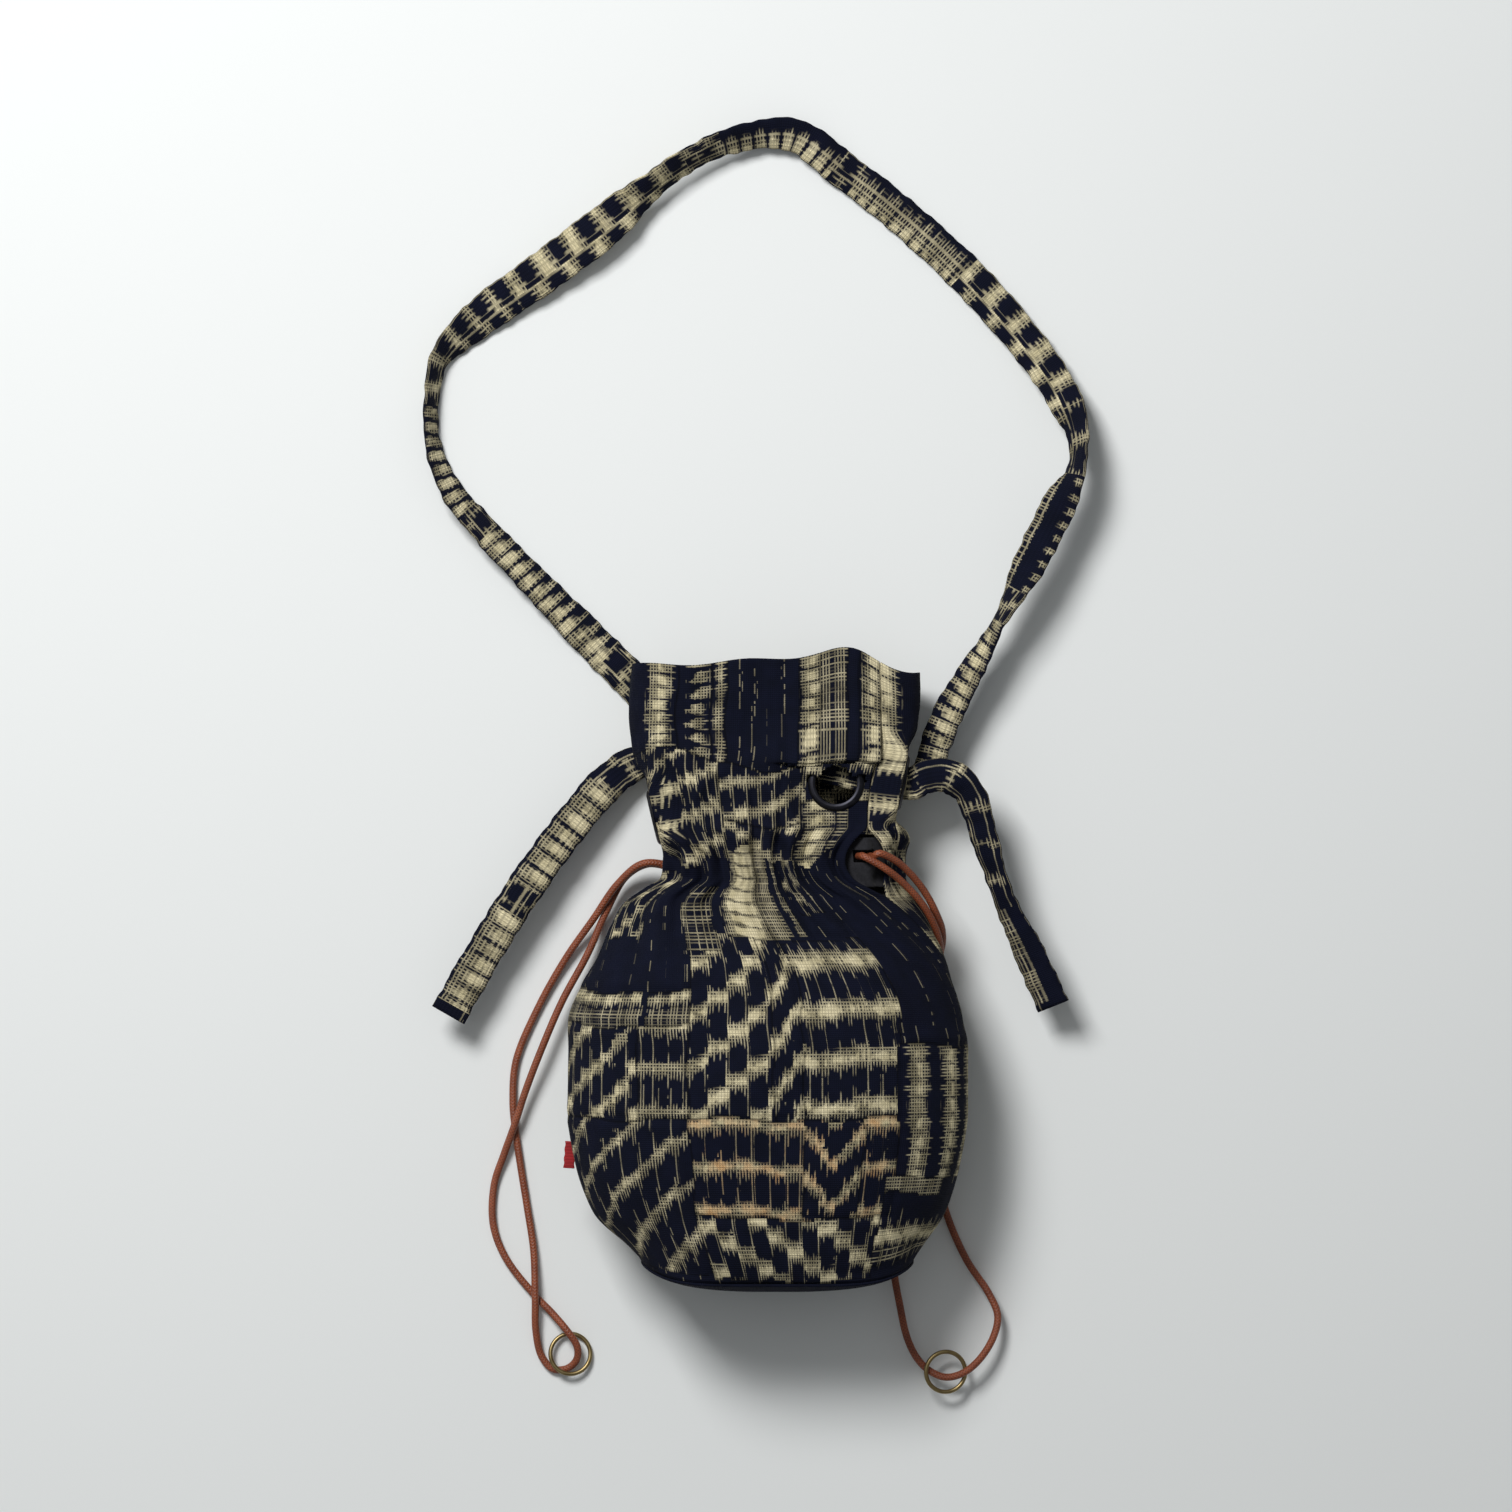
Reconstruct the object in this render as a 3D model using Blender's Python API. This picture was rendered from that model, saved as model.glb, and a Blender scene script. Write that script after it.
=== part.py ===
"""Drawstring shoulder bag in patchwork cloth, lying flat on its back.

X is across the bag, Y runs from the base to the mouth and on to the strap, Z is up from the floor.
The origin is the middle of the flat patch that the body rests on. All sizes are in metres.
"""

import math

import bmesh
import bpy
import numpy as np
from mathutils import Matrix, Vector

MM = 0.001

# Body, neck and collar
BASE_BELOW = 97 * MM
NECK_ABOVE = 126 * MM
COLLAR_HEIGHT = 112 * MM
BASE_WIDTH = 148 * MM
BODY_WIDTH = 217 * MM
NECK_WIDTH = 126 * MM
COLLAR_WIDTH = 156 * MM
BASE_DEPTH = 88 * MM
BODY_DEPTH = 106 * MM
NECK_DEPTH = 46 * MM
COLLAR_ROOT_DEPTH = 36 * MM
MOUTH_DEPTH = 30 * MM
MOUTH_LIFT = 2.5 * MM
BASE_LIFT = 3 * MM
BODY_SAG = 3 * MM
NECK_LIFT = 14 * MM
COLLAR_LIFT = 15.5 * MM
BASE_LEAN = 5 * MM
NECK_LEAN = 8 * MM
COLLAR_LEAN = 4 * MM
BASE_DOME = 8 * MM
BASE_BOW = 4 * MM
COLLAR_CORNER = 14 * MM
BODY_ROUNDNESS = 2.3

# Cloth and its gathers
CLOTH = 1.4 * MM
LINING = 0.8 * MM
BAND = 0.8 * MM
GAP = 0.3 * MM
SEAM_GAP = 0.8 * MM
PLEAT_DEPTH = 4 * MM
PLEAT_SWING = 0.018
FRONT_PLEATS = 8
BACK_PLEATS = 5
SLACK = 0.8 * MM
BASE_EASE = 2 * MM

# Side seams: how far they are turned round the collar, and the slits left open in them
RIGHT_TURN = 30 * MM
LEFT_TURN = 17 * MM
SLIT_LENGTH = 37 * MM
SLIT_HALF_WIDTH = 12 * MM
CORD_HOLE_HALF_WIDTH = 8.5 * MM
MOUTH_PEAK = 4 * MM
MOUTH_PEAK_X = 42 * MM
MOUTH_PEAK_HALF_WIDTH = 15 * MM
MOUTH_DROP = 9 * MM

# Drawcords, their channel round the neck and the rings on them
CORD_DIAMETER = 4 * MM
CORD_PITCH = 6.7 * MM
CORD_BEND = 8 * MM
CORD_SPREAD = 2.9 * MM
CORD_OUT_OF_SLIT = 3 * MM
CHANNEL_EDGE = 6.7 * MM
RING_DIAMETER = 24.4 * MM
RING_WIRE = 2.4 * MM
LEFT_RING = Vector((-108.6, -144.8, 3.6)) * MM
RIGHT_RING = Vector((97.4, -154.0, 11.6)) * MM
LEFT_RING_LEAN = (225, 11)
RIGHT_RING_LEAN = (176, 11)

# Eyelets in the collar
EYELET_BORE = 22.5 * MM
EYELET_DIAMETER = 31 * MM
EYELET_WALL = 0.9 * MM
FLANGE = 1.6 * MM
CURL = 1.0 * MM
CURL_REACH = 1.4 * MM
FLANGE_ROUNDING = 1.5 * MM
HOLE_CUT = 16 * MM
WASHER = 0.8 * MM
WASHER_GAP = 0.6 * MM
WASHER_INSIDE_RIM = 1 * MM
EYELET_SINK = 0.8 * MM
EYELET_ABOVE_NECK = 43 * MM
SIDE_EYELET_ABOVE_NECK = 24 * MM
FRONT_EYELET_FROM_SEAM = 19 * MM
BACK_EYELET_FROM_SEAM = 30 * MM
SEAT_FLAT = 6 * MM
SEAT_FADE = 16 * MM
SEAT_REACH = 8 * MM

# Strap
STRAP_WIDTH = 20 * MM
STRAP_THICKNESS = 4.5 * MM
STRAP_IN_EYELET = 0.86
STRAP_SQUARENESS = 0.8
BIGHT_GAP = 6.8 * MM
BIGHT_LEGS = (-5 * MM, 4 * MM)
RIGHT_BIGHT_APART = (0, 0, 1)
LEFT_BIGHT_APART = (0.93, -0.37, 0)
RIGHT_BIGHT_REACH = 44 * MM
LEFT_BIGHT_REACH = 11 * MM
STRAP_STEP = 20 * MM
STRAP_TURN = math.radians(26)
FLOOR_CLEAR = 0.05 * MM

# Seam tab
TAB_HEIGHT = 13.5 * MM
TAB_REACH = 6 * MM
TAB_THICKNESS = 1.2 * MM
TAB_BELOW = 32 * MM

# Facets
FRONT_COLUMNS = 40
BACK_COLUMNS = 25
LINING_COLUMNS = 26
BAND_COLUMNS = 20
OUTLINE_STEPS = 32
EYELET_SIDES = 20
RING_SIDES = 24
STRAP_SIDES = 8
WIRE_SIDES = 8
SHARP_EDGE = math.radians(50)

INDIGO = (0.008, 0.010, 0.026, 1.0)
BLACK = (0.006, 0.006, 0.008, 1.0)
GUNMETAL = (0.045, 0.045, 0.050, 1.0)
BRASS = (0.180, 0.130, 0.060, 1.0)
RUST = (0.150, 0.035, 0.012, 1.0)
RED = (0.220, 0.008, 0.010, 1.0)

# Left tail of the strap, from its end to the eyelet: x, y, z in mm, roll in degrees, share of the width
LEFT_TAIL = (
    (-175, 42, 22, 5, 1.0),
    (-156, 75, 22, 5, 1.0),
    (-138, 104, 22, 0, 1.0),
    (-120, 130, 21, 0, 1.0),
    (-103, 152, 19.5, 0, 1.0),
    (-88, 169, 16, 0, 1.0),
)
# Strap on its way into a rear eyelet and out of it again, measured from the eyelet's middle
LEFT_ARRIVAL = (
    (-40.5, 10.5, -4.8, 0, 0.95),
    (-27.5, 12, -6.6, 0, 0.85),
)
LEFT_DEPARTURE = (
    (-7.5, 10, -14.3, 0, 0.8),
    (-23.5, 32, -16.3, 0, 0.9),
)
RIGHT_ARRIVAL = (
    (26.9, 40.9, -11.5, 15, 0.85),
    (18.9, 21.9, -11, 5, 0.85),
    (13.9, 6.9, -8, 5, 0.78),
)
RIGHT_DEPARTURE = (
    (10.9, 2.4, 6, 0, 0.85),
    (23.9, 3.9, 6.5, 0, 0.95),
    (34.9, -3.1, 4.5, 20, 0.9),
)
# Shoulder loop, from the left eyelet round to the right one, in the same columns
LOOP = (
    (-77, 227, 0, 0, 1.0),
    (-92, 242, 0, 0, 1.0),
    (-131, 282, 0, 25, 0.9),
    (-153, 305, 0, 35, 0.9),
    (-174, 330, 0, 50, 0.9),
    (-184, 356, 0, 68, 0.9),
    (-184.5, 380, 0, 70, 0.9),
    (-180, 402, 0, 58, 0.9),
    (-158, 424.5, 5, 12, 1.05),
    (-125, 448, 8, 0, 1.15),
    (-90, 474, 13, 0, 1.15),
    (-66, 494.5, 16, 42, 0.95),
    (-38, 513.5, 16, 50, 0.9),
    (-10, 523.5, 13, 38, 0.9),
    (15, 524, 10, 20, 0.95),
    (42, 505, 4, 0, 1.0),
    (67, 486, 0, 0, 1.0),
    (111, 446, 0, 0, 1.05),
    (147, 404, 7, 0, 1.0),
    (161, 382, 14, 0, 0.95),
    (169.5, 360, 22, 48, 0.85),
    (168.5, 341, 27, 60, 0.85),
    (159, 321, 29, 12, 0.95),
    (143, 289, 29, 20, 0.95),
    (127, 258, 26, 70, 0.85),
    (114, 235, 23, 45, 0.85),
)
# Right tail, from the eyelet over the shoulder loop to its end, in the same columns
RIGHT_TAIL = (
    (114, 153, 36, 30, 0.9),
    (118.5, 137, 34, 35, 0.85),
    (124, 120, 32, 45, 0.8),
    (130, 103, 30, 45, 0.8),
    (140, 82, 28, 30, 0.9),
    (150, 60, 26, 25, 0.95),
    (156, 47, 25, 25, 0.95),
)
# Free loop of each drawcord, from the slit to the ring and back: x, y, z in mm
LEFT_CORD = (
    (-66, 124.5, 14),
    (-78, 117.5, 9),
    (-88, 100, 7),
    (-99, 75, 9.5),
    (-113, 49, 12),
    (-125, 21, 12),
    (-133, 0, 9.5),
    (-139.2, -19, 7.2),
    (-145, -35, 4),
    (-150.5, -52, 2.1),
    (-151, -74, 2.1),
    (-144, -92.5, 2.1),
    (-128, -113, 2.2),
    (-119, -122, 4.4),
    (-110.8, -131.2, 8.0),
    (-104.8, -140.5, 7.0),
    (-105.2, -148.0, 4.6),
    (-110.5, -153.0, 2.4),
    (-118.3, -153.2, 2.1),
    (-124.5, -146, 2.4),
    (-127.5, -132, 5),
    (-127.8, -114, 7.2),
    (-128.7, -88.6, 4),
    (-132.6, -62.7, 2.1),
    (-136.4, -39, 2.1),
    (-139.2, -19, 2.2),
    (-140.2, -6, 2.1),
    (-138.5, 16, 2.1),
    (-126.5, 45, 2.1),
    (-111, 72.6, 4),
    (-96, 94, 8.5),
    (-82, 114, 14),
    (-68, 125, 20),
)
RIGHT_CORD = (
    (60, 131, 63.5),
    (69, 127, 58.5),
    (77.5, 119.5, 51.5),
    (85, 110, 46),
    (91, 99, 41),
    (95, 88, 33),
    (94, 76, 22),
    (85, 60, 10),
    (80, 42, 3),
    (81, 20, 2.1),
    (82, -5, 2.1),
    (79, -35, 2.1),
    (73, -62, 2.1),
    (69, -84, 2.4),
    (69.3, -100, 4),
    (72, -116, 7),
    (76.5, -136, 9.5),
    (82, -147, 10),
    (88.5, -153.5, 10),
    (97.4, -157, 11.2),
    (107.0, -154.5, 13.2),
    (116.5, -146.5, 12.5),
    (124, -134, 11),
    (126, -123, 9),
    (121, -111, 7),
    (109, -93, 4),
    (97.5, -66, 2.1),
    (92, -40, 2.1),
    (89, -8, 2.1),
    (88, 18, 2.2),
    (87, 42, 6),
    (90, 60, 15),
    (94, 75, 28.5),
    (92.5, 86, 39),
    (88, 96.5, 46),
    (81.5, 106, 51),
    (73, 115, 56),
    (63, 123, 62),
)


def clear_scene():
    for item in list(bpy.data.objects):
        bpy.data.objects.remove(item, do_unlink=True)


def material(name, colour, roughness, metallic=0.0):
    made = bpy.data.materials.new(name)
    made.use_nodes = True
    shader = made.node_tree.nodes["Principled BSDF"]
    shader.inputs["Base Color"].default_value = colour
    shader.inputs["Roughness"].default_value = roughness
    shader.inputs["Metallic"].default_value = metallic
    made.diffuse_color = colour
    return made


def add_object(name, data, finish):
    made = bpy.data.objects.new(name, data)
    made.data.materials.append(finish)
    bpy.context.scene.collection.objects.link(made)
    return made


def between(first, second, share):
    return first + (second - first) * share


def rise(value, start, end):
    """Smooth step from 0 at start to 1 at end."""
    share = min(max((value - start) / (end - start), 0.0), 1.0)
    return share * share * (3 - 2 * share)


def steady_curve(knots, values, at):
    """Cubic through the values that never swings past them, one column at a time."""
    step = np.diff(knots)
    slope = np.diff(values, axis=0) / step[:, None]
    tangent = np.zeros_like(values)
    tangent[0], tangent[-1] = slope[0], slope[-1]
    same_way = slope[:-1] * slope[1:] > 0
    pair = np.where(same_way, slope[:-1] + slope[1:], 1.0)
    tangent[1:-1] = np.where(same_way, 2 * slope[:-1] * slope[1:] / pair, 0.0)
    i = int(np.clip(np.searchsorted(knots, at) - 1, 0, len(step) - 1))
    t = (at - knots[i]) / step[i]
    return (
        (2 * t**3 - 3 * t**2 + 1) * values[i]
        + (t**3 - 2 * t**2 + t) * step[i] * tangent[i]
        + (3 * t**2 - 2 * t**3) * values[i + 1]
        + (t**3 - t**2) * step[i] * tangent[i + 1]
    )


def profile():
    """Sections from base to mouth: y, half width, centre, back, front, corner x, corner z, roundness."""
    base, body = BASE_WIDTH / 2, BODY_WIDTH / 2
    neck, collar = NECK_WIDTH / 2, COLLAR_WIDTH / 2
    low, high = -BASE_BELOW, NECK_ABOVE
    front, half = BODY_DEPTH, BODY_DEPTH / 2
    base_front = BASE_LIFT + BASE_DEPTH
    lift, ring = NECK_LIFT, NECK_DEPTH / 2
    neck_front = lift + NECK_DEPTH
    root = COLLAR_LIFT + COLLAR_ROOT_DEPTH
    mouth_back = COLLAR_LIFT + MOUTH_LIFT
    mouth_front = mouth_back + MOUTH_DEPTH
    shallow, shallower = between(neck_front, root, 0.6), between(root, mouth_front, 0.6)
    sag, corner, full = -BODY_SAG, COLLAR_CORNER, BODY_ROUNDNESS

    def swollen(share):
        return between(base, body, share)

    def narrowed(share):
        return between(body, neck, share)

    def widened(share):
        return between(neck, collar, share)

    def up_collar(share):
        return high + COLLAR_HEIGHT * share

    lean, top_lean = NECK_LEAN, COLLAR_LEAN
    round_body = half * 0.97
    return np.array((
        (low, base, BASE_LEAN, BASE_LIFT, base_front, base * 0.7, half * 0.72, full),
        (low * 0.91, swollen(0.19), BASE_LEAN * 0.8, 1 * MM, front * 0.91, body * 0.8, half * 0.85, full),
        (low * 0.66, swollen(0.625), 0.8 * MM, sag * 0.6, front * 0.97, body * 0.9, half, full),
        (low * 0.38, swollen(0.88), 0, sag, front, body * 0.95, half, full),
        (low * 0.08, body, 0, sag, front, body, half, full),
        (high * 0.2, body, 0, sag, front * 0.98, body, half, full),
        (high * 0.33, narrowed(0.035), -1.6 * MM, sag * 0.9, front * 0.95, body * 0.95, round_body, full),
        (high * 0.48, narrowed(0.177), -0.3 * MM, sag * 0.4, front * 0.9, body * 0.85, half * 0.92, full),
        (high * 0.6, narrowed(0.324), 2 * MM, lift * 0.1, front * 0.84, body * 0.75, half * 0.85, full),
        (high * 0.75, narrowed(0.55), lean * 0.4, lift * 0.45, front * 0.73, body * 0.55, half * 0.65, 2.2),
        (high * 0.82, narrowed(0.69), lean * 0.45, lift * 0.65, front * 0.67, body * 0.4, half * 0.55, 2.1),
        (high * 0.89, narrowed(0.92), lean * 0.85, lift * 0.87, front * 0.61, ring * 1.15, ring * 1.05, 2),
        (high * 0.93, neck * 0.975, lean * 1.2, lift * 0.95, front * 0.58, ring, ring, 2),
        (high, neck, lean, lift, neck_front, ring, ring, 2),
        (up_collar(0.15), widened(0.2), lean * 0.65, lift, shallow, ring * 0.8, ring * 0.8, 2),
        (up_collar(0.3), widened(0.37), top_lean, COLLAR_LIFT, root, corner, corner, 2),
        (up_collar(0.45), widened(0.64), top_lean * 0.7, COLLAR_LIFT, root, corner, corner, 2),
        (up_collar(0.59), widened(0.9), top_lean, COLLAR_LIFT, shallower, corner, corner, 2),
        (up_collar(0.79), collar, top_lean, mouth_back, mouth_front, corner * 0.95, corner * 0.95, 2),
        (up_collar(1), collar * 0.99, top_lean, mouth_back, mouth_front, corner * 0.9, corner * 0.9, 2),
    ))


PROFILE = profile()


def outline(y, inset=0.0):
    """Closed section at y as points (x, z), from the right side over the front and back underneath.

    Returns the points, the length along them and the length at the left side.
    """
    half, centre, back, front, corner_x, corner_z, power = steady_curve(
        PROFILE[:, 0], PROFILE[:, 1:], y
    )
    half -= inset
    floor = max(back, 0.0)
    middle = (floor + front) / 2
    top, under = front - middle - inset, middle - back - inset
    corner_x = max(min(corner_x - inset, half), 1 * MM)
    corner_z = max(corner_z - inset, 1 * MM)
    turn = np.linspace(0, math.pi / 2, OUTLINE_STEPS)
    round_x = corner_x * np.cos(turn) ** (2 / power)
    points = []
    for side, upward, order in ((1, 1, 1), (-1, 1, -1), (-1, -1, 1), (1, -1, -1)):
        height = top if upward > 0 else under
        reach = min(corner_z, height)
        z = (height - reach) + reach * np.sin(turn) ** (2 / power)
        x = (half - corner_x) + round_x
        points.append(np.stack((centre + side * x, middle + upward * z), 1)[::order])
    sides = [np.array([[centre + side * half, middle]]) for side in (1, -1)]
    loop = np.concatenate((sides[0], *points[:2], sides[1], *points[2:], sides[0]))
    loop[:, 1] = np.maximum(loop[:, 1], inset)
    length = np.concatenate(((0,), np.cumsum(np.hypot(*np.diff(loop, axis=0).T))))
    return loop, length, length[2 * OUTLINE_STEPS + 1]


def on_outline(section, along):
    """Point (x, z) and inward direction at a length along a section."""
    loop, length, _ = section
    whole = length[-1]

    def at(place):
        place = place % whole
        return np.array([np.interp(place, length, loop[:, k]) for k in (0, 1)])

    step = 0.4 * MM
    ahead = at(along + step) - at(along - step)
    ahead /= np.hypot(*ahead)
    return at(along), np.array((-ahead[1], ahead[0]))


def turn_at(y):
    """How far the seams are turned round the bag, none on the body and all of it at the neck."""
    return rise(y, NECK_ABOVE * 0.35, NECK_ABOVE * 0.95)


def slit_at(y):
    """Half width of the slit in each side seam."""
    share = (y - NECK_ABOVE) / SLIT_LENGTH + 0.5
    return SLIT_HALF_WIDTH * math.sin(math.pi * share) if 0 < share < 1 else 0.0


def pleat_at(y):
    gather = rise(y, NECK_ABOVE * 0.42, NECK_ABOVE * 0.88)
    release = rise(y, NECK_ABOVE * 1.08, NECK_ABOVE + COLLAR_HEIGHT * 0.36)
    return PLEAT_DEPTH * gather * (1 - 0.8 * release)


def seams_at(y, section):
    """Lengths along the section of the right and the left seam."""
    return RIGHT_TURN * turn_at(y), section[2] + LEFT_TURN * turn_at(y)


def shaped_y(y, x, z):
    """The base edge bows out at the front, and the mouth edge peaks and drops to the right."""
    near_base = 1 - rise(y, -BASE_BELOW, -BASE_BELOW * 0.6)
    near_mouth = rise(y, NECK_ABOVE + COLLAR_HEIGHT * 0.55, NECK_ABOVE + COLLAR_HEIGHT)
    bow = BASE_BOW * (2 * z / BODY_DEPTH - 1)
    peak = MOUTH_PEAK * math.exp(-(((x - MOUTH_PEAK_X) / MOUTH_PEAK_HALF_WIDTH) ** 2))
    drop = MOUTH_DROP * rise(x, COLLAR_WIDTH * 0.3, COLLAR_WIDTH * 0.52)
    return y - bow * near_base + (peak - drop) * near_mouth


class Seat:
    """Flat round place in the collar that an eyelet is set in, with its normal pointing out of the bag."""

    def __init__(self, name, y, from_seam):
        self.name = name
        self.from_seam = from_seam
        span = EYELET_DIAMETER / 3
        point, inward = self.on_collar(y)
        above, below = self.on_collar(y + span)[0], self.on_collar(y - span)[0]
        climb = Vector((above[0] - below[0], 2 * span, above[1] - below[1]))
        self.normal = climb.cross(Vector((inward[1], 0, -inward[0]))).normalized()
        self.centre = Vector((point[0], y, point[1])) - self.normal * EYELET_SINK

    def on_collar(self, y):
        section = outline(y)
        right, left = seams_at(y, section)
        seam = left if "left" in self.name else right
        sign = 1 if self.name in ("front_right", "back_left") else -1
        return on_outline(section, seam + sign * self.from_seam)

    def flatten(self, point, inward):
        """Pulls a point of the cloth and its inward direction towards the seat, fully near the flange."""
        offset = point - self.centre
        off = offset.dot(self.normal)
        radius = (offset - self.normal * off).length
        flange = EYELET_DIAMETER / 2
        share = 1 - rise(radius, flange + SEAT_FLAT, flange + SEAT_FADE)
        share *= 1 - rise(abs(off), SEAT_REACH, 2 * SEAT_REACH)
        return point - self.normal * (off * share), inward.lerp(-self.normal, share).normalized()

    def frame(self):
        across = Vector((0, 1, 0))
        across = (across - self.normal * across.dot(self.normal)).normalized()
        side = self.normal.cross(across)
        turned = Matrix((across, side, self.normal)).transposed().to_4x4()
        return Matrix.Translation(self.centre) @ turned


EYELET_Y = NECK_ABOVE + EYELET_ABOVE_NECK
SEATS = (
    Seat("front_right", EYELET_Y, FRONT_EYELET_FROM_SEAM),
    Seat("front_left", NECK_ABOVE + SIDE_EYELET_ABOVE_NECK, FRONT_EYELET_FROM_SEAM),
    Seat("back_right", EYELET_Y, BACK_EYELET_FROM_SEAM),
    Seat("back_left", EYELET_Y, BACK_EYELET_FROM_SEAM),
)
SEAT = {seat.name: seat for seat in SEATS}


def shell(name, rows, finish, wrap=False, pole=None, skip=()):
    """Closed cloth from a grid of (outer, inner) points. Faces listed in skip are left out."""
    mesh = bmesh.new()
    inner_of = {}

    def add(pair):
        outer = mesh.verts.new(pair[0])
        inner_of[outer] = mesh.verts.new(pair[1])
        return outer

    grid = [[add(pair) for pair in row] for row in rows]
    columns = len(grid[0])
    for i in range(len(grid) - 1):
        for j in range(columns if wrap else columns - 1):
            k = (j + 1) % columns
            if (i, j) not in skip:
                mesh.faces.new((grid[i][j], grid[i + 1][j], grid[i + 1][k], grid[i][k]))
    if pole is not None:
        tip = add(pole)
        for j in range(columns):
            mesh.faces.new((tip, grid[0][j], grid[0][(j + 1) % columns]))
    rims = []
    for edge in mesh.edges:
        if edge.is_boundary:
            start, end = edge.link_loops[0].vert, edge.link_loops[0].link_loop_next.vert
            rims.append((end, start, inner_of[start], inner_of[end]))
    for face in list(mesh.faces):
        mesh.faces.new([inner_of[vert] for vert in reversed(face.verts)])
    for rim in rims:
        mesh.faces.new(rim)
    for vert in [vert for vert in mesh.verts if not vert.link_faces]:
        mesh.verts.remove(vert)
    data = bpy.data.meshes.new(name)
    mesh.to_mesh(data)
    mesh.free()
    data.shade_smooth()
    data.set_sharp_from_angle(angle=SHARP_EDGE)
    return add_object(name, data, finish)


BODY_ROWS = (1.0, 0.86, 0.62, 0.33, 0.05)
SHOULDER_ROWS = (0.2, 0.4, 0.54, 0.66, 0.76, 0.83)
COLLAR_ROWS = (0.19, 0.27, 0.39, 0.52, 0.68, 0.85, 1.0)
CHANNEL = (NECK_ABOVE - CORD_PITCH, NECK_ABOVE + CORD_PITCH)
CHANNEL_ROWS = (CHANNEL[0] - CHANNEL_EDGE, CHANNEL[0], NECK_ABOVE, CHANNEL[1], CHANNEL[1] + CHANNEL_EDGE)


def panel_rows():
    body = [-BASE_BELOW * share for share in BODY_ROWS]
    shoulder = [NECK_ABOVE * share for share in SHOULDER_ROWS]
    collar = [NECK_ABOVE + COLLAR_HEIGHT * share for share in COLLAR_ROWS]
    return body + shoulder + list(CHANNEL_ROWS) + collar


def outer_panel(name, columns, pleats, finish):
    """Front or back of the bag, gathered at the neck, with its slits and its eyelet seats."""
    front = name == "front_panel"
    rows = []
    for y in panel_rows():
        section = outline(y)
        right, left = seams_at(y, section)
        start, end = (right, left) if front else (left, section[1][-1] + right)
        trim = slit_at(y) + SEAM_GAP / 2
        row = []
        for j in range(columns + 1):
            share = j / columns
            (x, z), (in_x, in_z) = on_outline(section, between(start + trim, end - trim, share))
            swing = share + PLEAT_SWING * math.sin(6 * math.pi * share)
            depth = pleat_at(y) * (0.5 - 0.5 * math.cos(2 * math.pi * pleats * swing))
            x, z = x + in_x * depth, max(z + in_z * depth, 0.0)
            point, inward = Vector((x, shaped_y(y, x, z), z)), Vector((in_x, 0, in_z))
            for seat in SEATS:
                point, inward = seat.flatten(point, inward)
            row.append((point, point + inward * CLOTH))
        rows.append(row)
    made = shell(name, rows, finish)
    for seat in SEATS:
        if seat.name.startswith("front") == front:
            cut_eyelet_hole(made, seat)
    return made


def cut_eyelet_hole(cloth, seat):
    """Round hole through the cloth, a gap wider than the eyelet's barrel."""
    mesh = bmesh.new()
    radius = EYELET_BORE / 2 + EYELET_WALL + GAP
    bmesh.ops.create_cone(
        mesh,
        cap_ends=True,
        segments=EYELET_SIDES,
        radius1=radius,
        radius2=radius,
        depth=HOLE_CUT,
        matrix=seat.frame(),
    )
    data = bpy.data.meshes.new(seat.name + "_hole")
    mesh.to_mesh(data)
    mesh.free()
    cutter = bpy.data.objects.new(seat.name + "_hole", data)
    bpy.context.scene.collection.objects.link(cutter)
    cutter.hide_render = True
    cutter.display_type = "WIRE"
    cut = cloth.modifiers.new(seat.name, "BOOLEAN")
    cut.operation = "DIFFERENCE"
    cut.solver = "EXACT"
    cut.object = cutter


def base_panel(finish):
    """Oval bottom, domed outwards, its edge against the lower edges of both panels."""
    section = outline(-BASE_BELOW)
    centre = np.array((BASE_LEAN, BASE_LIFT + BASE_DEPTH / 2))

    def pair(x, z, scale):
        y = shaped_y(-BASE_BELOW, x, z) - GAP - BASE_DOME * (1 - scale * scale)
        return Vector((x, y - CLOTH, z)), Vector((x, y, z))

    rows = []
    for scale in (0.5, 0.82, 1.0):
        row = []
        for j in range(LINING_COLUMNS):
            edge, _ = on_outline(section, section[1][-1] * j / LINING_COLUMNS)
            row.append(pair(*between(centre, edge, scale), scale))
        rows.append(row)
    return shell("base_panel", rows, finish, wrap=True, pole=pair(*centre, 0))


CORD_IN = PLEAT_DEPTH + CLOTH + GAP + BAND + GAP + CORD_DIAMETER / 2 + SLACK


def lining_inset(y):
    """How far inside the outer section the lining hangs, most of all round the cord channel."""
    plain = CLOTH + GAP + SLACK + pleat_at(y)
    plain += BASE_EASE * (1 - rise(y, -BASE_BELOW, -BASE_BELOW * 0.6))
    deep = CORD_IN + CORD_DIAMETER / 2 + GAP + SLACK
    near = rise(y, CHANNEL[0] - 30 * MM, CHANNEL[0] - 2 * MM)
    far = rise(y, CHANNEL[1] + 2 * MM, CHANNEL[1] + 25 * MM)
    return between(plain, deep, near * (1 - far))


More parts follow.
